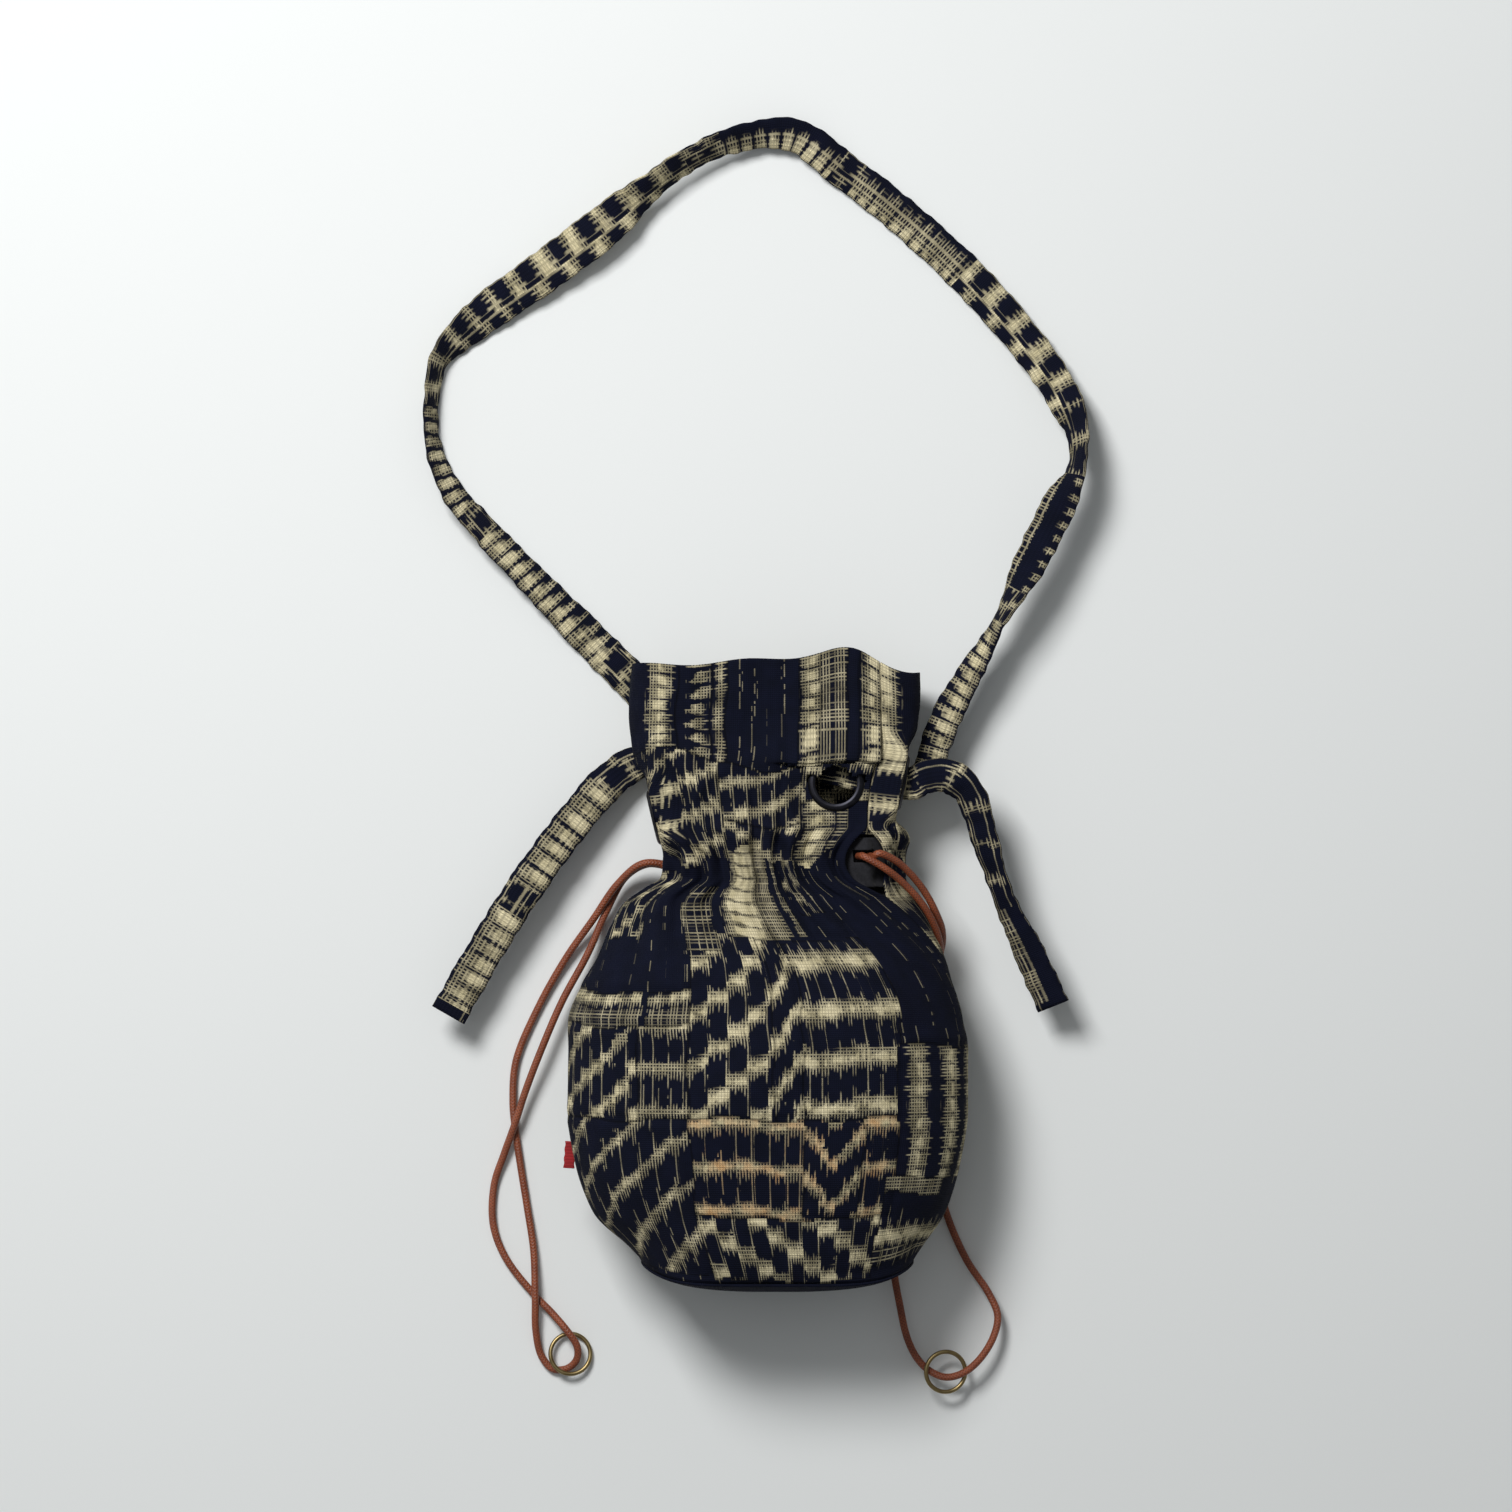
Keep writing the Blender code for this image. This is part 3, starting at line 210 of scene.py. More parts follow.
def steady(knots, values, at):
    """Cubic Hermite through the rows. The slope at a knot is the harmonic mean of its neighbours'."""
    step = np.diff(knots)
    slope = np.diff(values, axis=0) / step[:, None]
    same = slope[:-1] * slope[1:] > 0
    total = np.where(same, slope[:-1] + slope[1:], 1)
    tangent = np.vstack((slope[:1], np.where(same, 2 * slope[:-1] * slope[1:] / total, 0), slope[-1:]))
    i = np.clip(np.searchsorted(knots, at) - 1, 0, len(step) - 1)
    t, h = ((at - knots[i]) / step[i])[:, None], step[i][:, None]
    return (
        (2 * t**3 - 3 * t**2 + 1) * values[i] + (t**3 - 2 * t**2 + t) * h * tangent[i]
        + (3 * t**2 - 2 * t**3) * values[i + 1] + (t**3 - t**2) * h * tangent[i + 1]
    )


ARC = 40


def sections(y, inset=0.0):
    """Rounded boxes at every y: four quarter superellipses (cos^(2/n), sin^(2/n)), cut off flat at the floor.

    Returns points (rows, n, 2), lengths along them (rows, n) and the length at the left side (rows).
    """
    y = np.atleast_1d(y)
    half, centre, back, front, cx, cz, power = steady(TABLE[:, 0], TABLE[:, 1:], y).T[:, :, None]
    half = half - inset
    middle = (np.maximum(back, 0) + front) / 2
    cx = np.maximum(np.minimum(cx - inset, half), 1 * MM)
    cz = np.maximum(cz - inset, 1 * MM)
    turn = np.linspace(0, math.pi / 2, ARC)[None, :]
    round_x = (half - cx) + cx * np.cos(turn) ** (2 / power)
    quarters = []
    for side, up, order in ((1, 1, 1), (-1, 1, -1), (-1, -1, 1), (1, -1, -1)):
        height = (front - middle if up > 0 else middle - back) - inset
        reach = np.minimum(cz, height)
        z = middle + up * ((height - reach) + reach * np.sin(turn) ** (2 / power))
        quarters.append(np.stack((centre + side * round_x, z), 2)[:, ::order])
    ends = [np.stack((centre + side * half, middle), 2) for side in (1, -1)]
    loop = np.concatenate((ends[0], *quarters[:2], ends[1], *quarters[2:], ends[0]), 1)
    loop[:, :, 1] = np.maximum(loop[:, :, 1], inset)
    steps = np.linalg.norm(np.diff(loop, axis=1), axis=2)
    length = np.concatenate((np.zeros((len(y), 1)), np.cumsum(steps, 1)), 1)
    return loop, length, length[:, 2 * ARC + 1]


def along(section, places):
    """Points, and inward directions (the tangent turned left), at lengths (rows, m) along the sections."""
    loop, length, _ = section

    def at(place):
        place = place % length[:, -1:]
        return np.stack([
            np.stack([np.interp(p, s, line[:, k]) for p, s, line in zip(place, length, loop)]) for k in (0, 1)
        ], 2)

    tangent = at(places + 0.5 * MM) - at(places - 0.5 * MM)
    tangent /= np.linalg.norm(tangent, axis=2, keepdims=True)
    return at(places), np.stack((-tangent[..., 1], tangent[..., 0]), 2)


def rise(value, start, end):
    """Smooth step: 0 before start, 1 after end, 3t^2 - 2t^3 between."""
    t = np.clip((value - start) / (end - start), 0, 1)
    return t * t * (3 - 2 * t)


def seam_places(y, section):
    """Lengths of the right and left seam; both are turned round the bag from the neck upwards."""
    turned = rise(y, NECK_ABOVE * 0.35, NECK_ABOVE * 0.95)
    return RIGHT_TURN * turned, section[2] + LEFT_TURN * turned


def slit(y):
    """Half width of the slit in a side seam: half a sine wave along the slit."""
    share = (y - NECK_ABOVE) / SLIT_LENGTH + 0.5
    return np.where((share > 0) & (share < 1), SLIT_HALF_WIDTH * np.sin(math.pi * np.clip(share, 0, 1)), 0)


def pleat_depth(y):
    """Depth of the gathers: none on the belly, all of it at the neck, a fifth left at the mouth."""
    gather = rise(y, NECK_ABOVE * 0.42, NECK_ABOVE * 0.88)
    release = rise(y, NECK_ABOVE * 1.08, NECK_ABOVE + COLLAR_HEIGHT * 0.36)
    return PLEAT_DEPTH * gather * (1 - 0.8 * release)


def shaped(y, x, z):
    """The base edge bows out at the front, and its corners rise by the 6th power of the way to them.
    The mouth edge peaks right of its middle, has a small wave, and drops towards both ends.
    """
    near_base = 1 - rise(y, -BASE_BELOW, -BASE_BELOW * 0.6)
    near_mouth = rise(y, NECK_ABOVE + COLLAR_HEIGHT * 0.55, NECK_ABOVE + COLLAR_HEIGHT)
    bow = BASE_BOW * (2 * z / BODY_DEPTH - 1)
    peak = MOUTH_PEAK * np.exp(-(((x - MOUTH_PEAK_X) / MOUTH_PEAK_HALF_WIDTH) ** 2))
    drop = RIGHT_DROP * rise(x, COLLAR_WIDTH * 0.3, COLLAR_WIDTH * 0.52)
    left_drop = LEFT_DROP * rise(-x, -34 * MM, 60 * MM) + MOUTH_WAVE * np.sin(x / MOUTH_WAVE_REACH)
    corner = BASE_CORNER_RISE * np.minimum(np.abs(x - BASE_LEAN) / (BASE_WIDTH / 2), 1) ** 6
    return y - (bow - corner) * near_base + (peak - drop - left_drop) * near_mouth


print("half girth at the belly", round(float(sections(0.0)[2][0]) * 1000), "mm")

# %% [markdown]
# ## Eyelet seats
# Four metal eyelets sit in the collar. Cloth is pulled flat round each of them. A seat is a plane: its
# centre, its normal, and a pull that is full under the flange and fades out beyond it.

# %% Seats
EYELET_BORE, EYELET_DIAMETER, EYELET_WALL = 22.5 * MM, 31 * MM, 0.9 * MM
FLANGE, FLANGE_ROUNDING, CURL, CURL_REACH = 1.6 * MM, 1.5 * MM, 1.0 * MM, 1.4 * MM
WASHER, WASHER_GAP, EYELET_SINK = 0.8 * MM, 0.6 * MM, 0.8 * MM
SEAT_FLAT, SEAT_FADE, SEAT_REACH = 6 * MM, 16 * MM, 8 * MM


def seat(name, above_neck, from_seam):
    """Centre and outward normal of a seat: the way up the collar crossed with the way round it."""
    span = EYELET_DIAMETER / 3
    y = NECK_ABOVE + above_neck + np.array([0, span, -span])
    section = sections(y)
    right, left = seam_places(y, section)
    sign = 1 if name in ("front_right", "back_left") else -1
    places = (left if "left" in name else right) + sign * from_seam
    points, inward = along(section, places[:, None])
    (x, z), (in_x, in_z) = points[0, 0], inward[0, 0]
    climb = (points[1, 0, 0] - points[2, 0, 0], 2 * span, points[1, 0, 1] - points[2, 0, 1])
    normal = np.cross(climb, (in_z, 0, -in_x))
    normal /= np.linalg.norm(normal)
    return np.array((x, y[0], z)) - normal * EYELET_SINK, normal


SEATS = {
    "front_right": seat("front_right", 43 * MM, 19 * MM),
    "front_left": seat("front_left", 24 * MM, 19 * MM),
    "back_right": seat("back_right", 43 * MM, 30 * MM),
    "back_left": seat("back_left", 43 * MM, 30 * MM),
}


def flatten(points, inward):
    """Pulls points into each seat's plane by rise() of the distance from its middle, and turns inward too."""
    flange = EYELET_DIAMETER / 2
    for centre, normal in SEATS.values():
        offset = points - centre
        off = offset @ normal
        radius = np.linalg.norm(offset - off[..., None] * normal, axis=-1)
        share = 1 - rise(radius, flange + SEAT_FLAT, flange + SEAT_FADE)
        share = (share * (1 - rise(np.abs(off), SEAT_REACH, 2 * SEAT_REACH)))[..., None]
        points = points - normal * (off[..., None] * share)
        inward = inward * (1 - share) - normal * share
        inward /= np.linalg.norm(inward, axis=-1, keepdims=True)
    return points, inward


for name, (centre, normal) in SEATS.items():
    print("seat", name, (centre * 1000).round(1).tolist(), normal.round(2).tolist())

# %% [markdown]
# ## Meshes from grids
# Every sheet here is a grid of points with a second grid one cloth thickness inside it. One function joins
# the two into a closed shell, with a UV map in cloth millimetres and any pattern values stored at face
# corners.

# %% Shell builder
def add_piece(name, vertices, faces, finish, smooth=True):
    """Mesh object from arrays of vertices (n, 3) and quads (m, 4)."""
    mesh = bpy.data.meshes.new(name)
    mesh.vertices.add(len(vertices))
    mesh.vertices.foreach_set("co", np.ascontiguousarray(vertices, np.float32).ravel())
    mesh.loops.add(faces.size)
    mesh.loops.foreach_set("vertex_index", faces.astype(np.int32).ravel())
    mesh.polygons.add(len(faces))
    mesh.polygons.foreach_set("loop_start", np.arange(0, faces.size, faces.shape[1], dtype=np.int32))
    mesh.update(calc_edges=True)
    mesh.validate()
    mesh.polygons.foreach_set("use_smooth", np.full(len(mesh.polygons), smooth))
    mesh.materials.append(finish)
    made = bpy.data.objects.new(name, mesh)
    scene.collection.objects.link(made)
    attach(made, "root")
    return made


def dress(made, corner_u, corner_v, pattern):
    """UV map named cloth, in hundreds of millimetres of cloth, and a pattern's values at the face corners."""
    layer = made.data.uv_layers.new(name="cloth")
    layer.data.foreach_set("uv", np.stack((corner_u, corner_v), 2).astype(np.float32).ravel() / 100)
    for key, values in (pattern(corner_u, corner_v) if pattern else {}).items():
        field = made.data.attributes.new(key, "FLOAT", "CORNER")
        field.data.foreach_set("value", values.astype(np.float32).ravel())


def shell(name, outer, inner, u, v, finish, wrap=False, keep=None, pattern=None):
    """Closed sheet from outer and inner grids (rows, columns, 3).

    u and v are the cloth places of columns and rows in mm. keep is a mask of the cells that stay. The rim
    joins the two grids along every open cell edge.
    """
    rows, columns = outer.shape[:2]
    cells = columns if wrap else columns - 1
    index = np.arange(rows * columns).reshape(rows, columns)
    nxt = np.roll(index, -1, 1)[:, :cells] if wrap else index[:, 1:]
    here = index[:, :cells]
    quads = np.stack((here[:-1], here[1:], nxt[1:], nxt[:-1]), 2)
    keep = np.ones((rows - 1, cells), bool) if keep is None else keep
    count = rows * columns
    top = quads[keep]
    padded = np.zeros((rows + 1, cells + 2), bool)
    padded[1:-1, 1:-1] = keep
    if wrap:
        padded[1:-1, 0], padded[1:-1, -1] = keep[:, -1], keep[:, 0]
    rims = []
    for edge, ahead in (((0, 1), padded[1:-1, :-2]), ((1, 2), padded[2:, 1:-1]),
                        ((2, 3), padded[1:-1, 2:]), ((3, 0), padded[:-2, 1:-1])):
        bare = quads[keep & ~ahead]
        a, b = bare[:, edge[0]], bare[:, edge[1]]
        rims.append(np.stack((b, a, a + count, b + count), 1))
    under = top[:, ::-1] + count
    faces = np.concatenate((top, under, *rims))
    vertices = np.concatenate((outer.reshape(-1, 3), inner.reshape(-1, 3)))
    used, faces = np.unique(faces, return_inverse=True)
    faces = faces.reshape(-1, 4)
    made = add_piece(name, vertices[used], faces, finish)
    flat_u = np.broadcast_to(u[None, :], (rows, columns)).ravel()
    flat_v = np.broadcast_to(v[:, None], (rows, columns)).ravel()
    whole_u, whole_v = np.tile(flat_u, 2)[used], np.tile(flat_v, 2)[used]
    corner_u, corner_v = whole_u[faces], whole_v[faces]
    if wrap:
        lap = corner_u.max(1, keepdims=True) - corner_u > (u[-1] - u[0]) / 2
        corner_u = corner_u + lap * (u[-1] - u[0] + u[1] - u[0])
    dress(made, corner_u, corner_v, pattern)
    return made


print("shell builder ready")

# %% [markdown]
# ## Kasuri cloth
# Kasuri is woven from threads that were tied off and dyed indigo in parts beforehand, so its blocks have
# feathered edges: every thread changes colour a little sooner or later than its neighbour. The pattern is
# kept as a distance in millimetres to the nearest edge of a cream block, worked out cell by cell, plus two
# lengths: how far lone upright and lone level threads run on past that edge. A rust tint and the distance to
# the nearest seam go with them. The material turns these into threads.
# Near a seam the material also darkens the colour, as painted shade.

# %% Kasuri patterns
THREAD = 1.75
NO_SEAM = 9.0


def cell_middle(value, size):
    """Index of the cell a face lies in, the same for its corners, and each corner's place in it, 0 to 1."""
    index = np.floor((value.mean(1, keepdims=True) + 1e-6) / size)
    return index, np.clip(value / size - index, 0, 1)


def scatter(index, seed=0.0):
    """Uneven number from -1 to 1 for each whole number, from the fraction of a large sine."""
    wave = np.sin(index * 12.9898 + seed * 78.233) * 43758.5453
    return 2 * (wave - np.floor(wave)) - 1


def bars(u, v, column=12, period=30, width=13, phase=0, slope=0.0, bend=0.0, origin=0.0, point=None,
         teeth=6, grid=5, cord=1.0, skew=0.0):
    """Level bars in columns. The shift of column i is slope*d + bend*d^2, with d its distance from origin.

    point = (middle, half width, steepness) pushes bars down to a V. A bar's teeth hang from its lower edge
    and its open grid stands on its upper one, both within its width. skew slants the bars inside a column.
    """
    index, place = cell_middle(u - origin, column)
    d = (index + 0.5) * column
    shift = slope * d + bend * d * np.abs(d) + 0.9 * scatter(index, phase)
    if point is not None:
        shift = shift - point[2] * np.maximum(point[1] - np.abs(d + origin - point[0]), 0)
    level = (v - shift - skew * (place - 0.5) * column - phase) / period + 0.5
    row = np.floor(level.mean(1, keepdims=True))
    c = (level % 1 - 0.5) * period
    width = width + 1.7 * scatter(index * 3.7 + row * 1.3, phase)
    above = c > 0
    side = np.abs(2 * place - 1)
    cream = width / 2 - 0.6 * np.where(above, grid, teeth) - np.abs(c) + 1.2 * side**4 - 0.3
    near = np.abs(2 * place.mean(1, keepdims=True) - 1) > 1 - 1.3 * THREAD / column
    reach_u = np.where(near, 15.0 * cord, np.where(above, grid, teeth))
    reach_v = np.where(above, 0.9 * grid, 0.25 * teeth)
    return cream, reach_u, reach_v


def ladder(u, v, middles=(0,), width=13, pitch=10, comb=3, grid=5, tooth=0, tick=0.2):
    """Upright cream stripes cut into blocks by dark ticks, with lone level threads running out of both sides.

    A tooth (left of the stripe if over 0, right if under) widens each second half block, darkening the rest.
    """
    index, place = cell_middle(v, pitch)
    cream = np.full(u.shape, -40.0)
    right = np.zeros(u.shape, bool)
    gap = np.zeros(u.shape, bool)
    for middle in middles:
        off = u - middle - 0.5 * scatter(index, middle)
        gap |= (off * tooth < 0) & (place.mean(1, keepdims=True) > 0.45)
        this = width / 2 - np.abs(off) + abs(tooth) * (off * tooth < 0) * (place < 0.5)
        to_tick = (1 - np.abs(2 * place - 1)) * pitch / 2
        this = np.minimum(this - 1.6 * (2 * place - 1) ** 4, 4 * (to_tick - tick * pitch / 4))
        right = np.where(this > cream, off > 0, right)
        cream = np.maximum(cream, this)
    reach_u = np.where(gap, 0.4, np.where(right, 0.8 * grid, 0.8 * comb) + 2.0)
    reach_v = np.where(gap, 0.4, np.where(right, grid, comb) + 2.0)
    return cream, reach_u, reach_v


def dashes(u, v, column=12, length=9, share=0.6, cord=1.0, offset=0.0):
    """Plain indigo with lone upright threads at the column edges, broken into dashes."""
    index, place = cell_middle(u - offset, column)
    near = np.abs(2 * place.mean(1, keepdims=True) - 1) > 1 - 1.1 * THREAD / column
    row = v.mean(1, keepdims=True) / length + 0.37 * index
    on = near & ((row % 1) < share)
    cream = np.full(u.shape, -9.0)
    return cream, np.where(on, 19.0 * cord, 0.0) + 0 * cream, np.zeros(u.shape)


def lattice(u, v, grid=30):
    """Open grid of cream threads both ways."""
    cream = np.full(u.shape, -3.0)
    return cream, np.full(u.shape, float(grid)), np.full(u.shape, float(grid))


def crooked(u, v):
    """Cloth places with the small waves that hand weaving and sewing leave: sums of sines, 2 mm at most."""
    return (u + 0.9 * np.sin(v / 15 + 0.6) + 0.7 * np.sin(v / 6.1 + u / 31),
            v + 1.2 * np.sin(u / 17 + 0.4) + 0.7 * np.sin(u / 6.7 + v / 23 + 1.9))


def patchwork(patches):
    """Function of corner places that fills rectangles of cloth with their patterns, later ones on top.

    seam is the distance in mm from the nearest border of the rectangle that a face lies in.
    """

    def fill(u, v):
        cream, reach_u, reach_v = dashes(u, v, column=14)
        tint = np.zeros(u.shape)
        seam = np.full(u.shape, NO_SEAM)
        mid_u, mid_v = u.mean(1), v.mean(1)
        for u0, u1, v0, v1, kind, values in patches:
            inside = (mid_u >= u0) & (mid_u < u1) & (mid_v >= v0) & (mid_v < v1)
            if not inside.any():
                continue
            values = dict(values)
            here_u, here_v = u[inside], v[inside]
            tint[inside] = values.pop("tint", 0.0)
            edges = np.minimum(np.minimum(here_u - u0, u1 - here_u), np.minimum(here_v - v0, v1 - here_v))
            seam[inside] = np.clip(edges, 0, NO_SEAM)
            cream[inside], reach_u[inside], reach_v[inside] = kind(here_u, here_v, **values)
        return {"cream": cream, "reach_up": reach_u, "reach_across": reach_v, "tint": tint, "seam": seam}

    return fill


# Each row: from u, to u, from v, to v in mm of cloth, then the pattern. v is the height above the belly's
# middle.
FRONT_PATCHES = (
    (-150, -45, 57, 140, dashes, dict(column=12, length=11, share=0.5)),
    (-150, -74, 39, 57, bars, dict(period=60, width=7, phase=53, teeth=4, grid=2, column=8)),
    (-70, -45, 39, 57, bars, dict(period=60, width=7, phase=53, teeth=4, grid=2, column=8)),
    (-150, -74, 39, 49, lattice, dict(grid=6)),
    (-70, -45, 39, 49, lattice, dict(grid=6)),
    (-150, -74, -11, 39, bars, dict(column=8, period=25, width=9, slope=0.8, bend=0.005, origin=-112,
        phase=6, teeth=5, grid=3, skew=0.4)),
    (-74, -45, -11, 39, bars, dict(column=8, period=23, width=8, phase=15, grid=4, teeth=6)),
    (-45, 4, -11, 88, bars, dict(column=11.5, period=27, width=11.5, slope=0.62, bend=0.004, origin=-45,
        phase=13, teeth=6, grid=3, skew=0.25)),
    (4, 21, -11, 88, bars, dict(column=5.5, period=27, width=11.5, slope=1.5, origin=4, phase=26, cord=0.4,
        teeth=5, grid=2, skew=0.8)),
    (21, 79, -11, 84, bars, dict(column=8.3, period=26, width=11.5, phase=21, grid=4, teeth=5)),
    (-45, 20, -64, -11, bars, dict(column=9.5, period=23.5, width=9.5, phase=-15, tint=1.0, grid=2,
        teeth=6)),
    (20, 54, -64, -11, bars, dict(column=3.4, period=23.5, width=8.5, phase=-16, origin=20, cord=0.3,
        point=(37, 17, 1.2), tint=1.0, grid=2, teeth=3)),
    (54, 75, -64, -11, bars, dict(column=9.5, period=23.5, width=9.5, phase=-15, tint=1.0, grid=2,
        teeth=6)),
    (-45, 70, -96, -64, bars, dict(column=11, period=24, width=11, slope=-0.62, origin=-45, phase=-66,
        teeth=4, grid=4)),
    (-150, -45, -93, -11, bars, dict(column=11, period=26, width=7, slope=0.95, bend=-0.004, origin=-110,
        phase=-14, teeth=6, grid=3, skew=0.7)),
    (79, 150, 28, 140, dashes, dict(column=10, length=14, share=0.6)),
    (75, 150, -43, 28, ladder, dict(middles=(88, 111, 132), width=6.5, pitch=9.4, comb=4, grid=4,
        tick=0.35)),
    (70, 112, -52, -43, lattice, dict(grid=8)),
    (70, 150, -110, -52, bars, dict(column=7, period=60, width=10, phase=-76, teeth=3, grid=3, skew=-0.4)),
    (70, 150, -90, -82, lattice, dict(grid=5)),
    (-110, -80, 86, 122, bars, dict(column=7, period=15, width=6, slope=0.9, phase=90, teeth=3)),
    (-14, 19, 86, 140, ladder, dict(middles=(4,), width=25, pitch=6.6, comb=3, grid=4, tick=0.3)),
    (19, 34, 86, 140, lattice, dict(grid=9)),
    (-46, -22, 78, 112, lattice, dict(grid=6)),
    (39, 44, 86, 140, lattice, dict(grid=7)),
    (50, 72, 98, 140, bars, dict(column=7, period=19, width=5, slope=1.4, phase=3, teeth=3)),
)
# The collar is cut from other cloth, so its u is counted in its own narrower width.
COLLAR_SCALE = 0.62
COLLAR_PATCHES = (
    (-90, -51, 112, 181, dashes, dict(column=9)),
    (-51, -8, 112, 181, bars, dict(column=6, period=19, width=7.5, slope=0.9, origin=-51, phase=141,
        teeth=4, grid=3, skew=0.2)),
    (-8, 43, 150, 181, bars, dict(column=8.6, period=17, width=7, slope=0.35, phase=153, teeth=3, grid=3,
        skew=0.3)),
    (-8, 43, 112, 150, bars, dict(column=8.6, period=20, width=8, slope=-0.5, phase=146, teeth=4, grid=4)),
    (43, 90, 112, 159, ladder, dict(middles=(55,), width=12, pitch=8, comb=4, grid=4, tick=0.6)),
    (67, 74, 112, 159, lattice, dict(grid=6)),
    (43, 90, 159, 181, bars, dict(column=9, period=19, width=9, slope=-0.5, phase=163, grid=5)),
    (-90, -32, 181, 248, ladder, dict(middles=(-42.5,), width=7.5, pitch=7.7, comb=4, grid=4, tick=0.5)),
    (-32, -12, 181, 248, ladder, dict(middles=(-20,), width=4, pitch=9.4, comb=4, grid=5, tooth=1,
        tick=0.9)),
    (-12, -3, 181, 248, ladder, dict(middles=(-7,), width=1, pitch=9.4, comb=2, grid=3)),
    (-3, 40, 181, 248, dashes, dict(column=8.6, length=10, share=0.62, offset=4.6, cord=0.85)),
    (40, 52, 181, 248, ladder, dict(middles=(47,), width=8.5, pitch=7.7, comb=3, grid=5, tick=0.5)),
    (52, 68, 181, 248, lattice, dict(grid=6)),
    (68, 75, 181, 248, dashes, dict(column=20)),
    (75, 90, 181, 248, ladder, dict(middles=(83,), width=7, pitch=7.7, comb=3, grid=4, tick=0.5)),
    (-90, 90, 248, 262, dashes, dict(column=40)),
)
BACK_COLLAR_PATCHES = (
    (-90, 90, 112, 181, bars, dict(column=8.6, period=20, width=11, slope=0.7, teeth=4, grid=4)),
    (-90, 90, 181, 248, ladder, dict(middles=(-84, -48, -20, 30, 86), width=8, pitch=10, comb=4, grid=5)),
    (-90, 90, 248, 262, dashes, dict(column=40)),
)
BACK_PATCHES = (
    (-150, -60, 57, 140, dashes, dict(column=12, length=11)),
    (-60, 20, 50, 140, bars, dict(column=11, period=27, width=13, slope=0.6, bend=0.008, origin=-60)),
    (20, 150, 50, 140, bars, dict(column=10, period=26, width=12, phase=5)),
    (-150, -40, -20, 50, ladder, dict(middles=(-125, -96, -60), width=8, pitch=9.4, comb=3, grid=4)),
    (-40, 60, -20, 50, bars, dict(column=11, period=26, width=12, slope=-0.6, origin=-40)),
    (60, 150, -20, 50, bars, dict(column=10, period=24, width=11, phase=12)),
    (-150, 0, -105, -20, bars, dict(column=11, period=24, width=11, slope=0.8, origin=-100)),
    (0, 150, -105, -20, bars, dict(column=10, period=23.5, width=11, phase=-37, point=(70, 17, 1.5),
        tint=1.0)),
)
print(len(FRONT_PATCHES) + len(COLLAR_PATCHES), "patches in front,", len(BACK_PATCHES), "behind")

# %% [markdown]
# ## Kasuri material
# Indigo cotton, plain weave, matt. The pattern fields decide where it is cream: solidly inside a block, and
# as lone threads beyond it. Threads are 1.75 mm apart: real ones are finer, but only bundles of them show.

# %% Kasuri material
# Settings of the Math and Mix nodes, named for what they do.
PLUS, LESS, TIMES, SCALED, WHOLE, FRACTION, SIZE, LARGER = ({"operation": word} for word in (
    "ADD", "SUBTRACT", "MULTIPLY", "MULTIPLY_ADD", "FLOOR", "FRACT", "ABSOLUTE", "MAXIMUM"))
CLAMPED = {"operation": "MULTIPLY_ADD", "use_clamp": True}
COLOURS = {"data_type": "RGBA"}


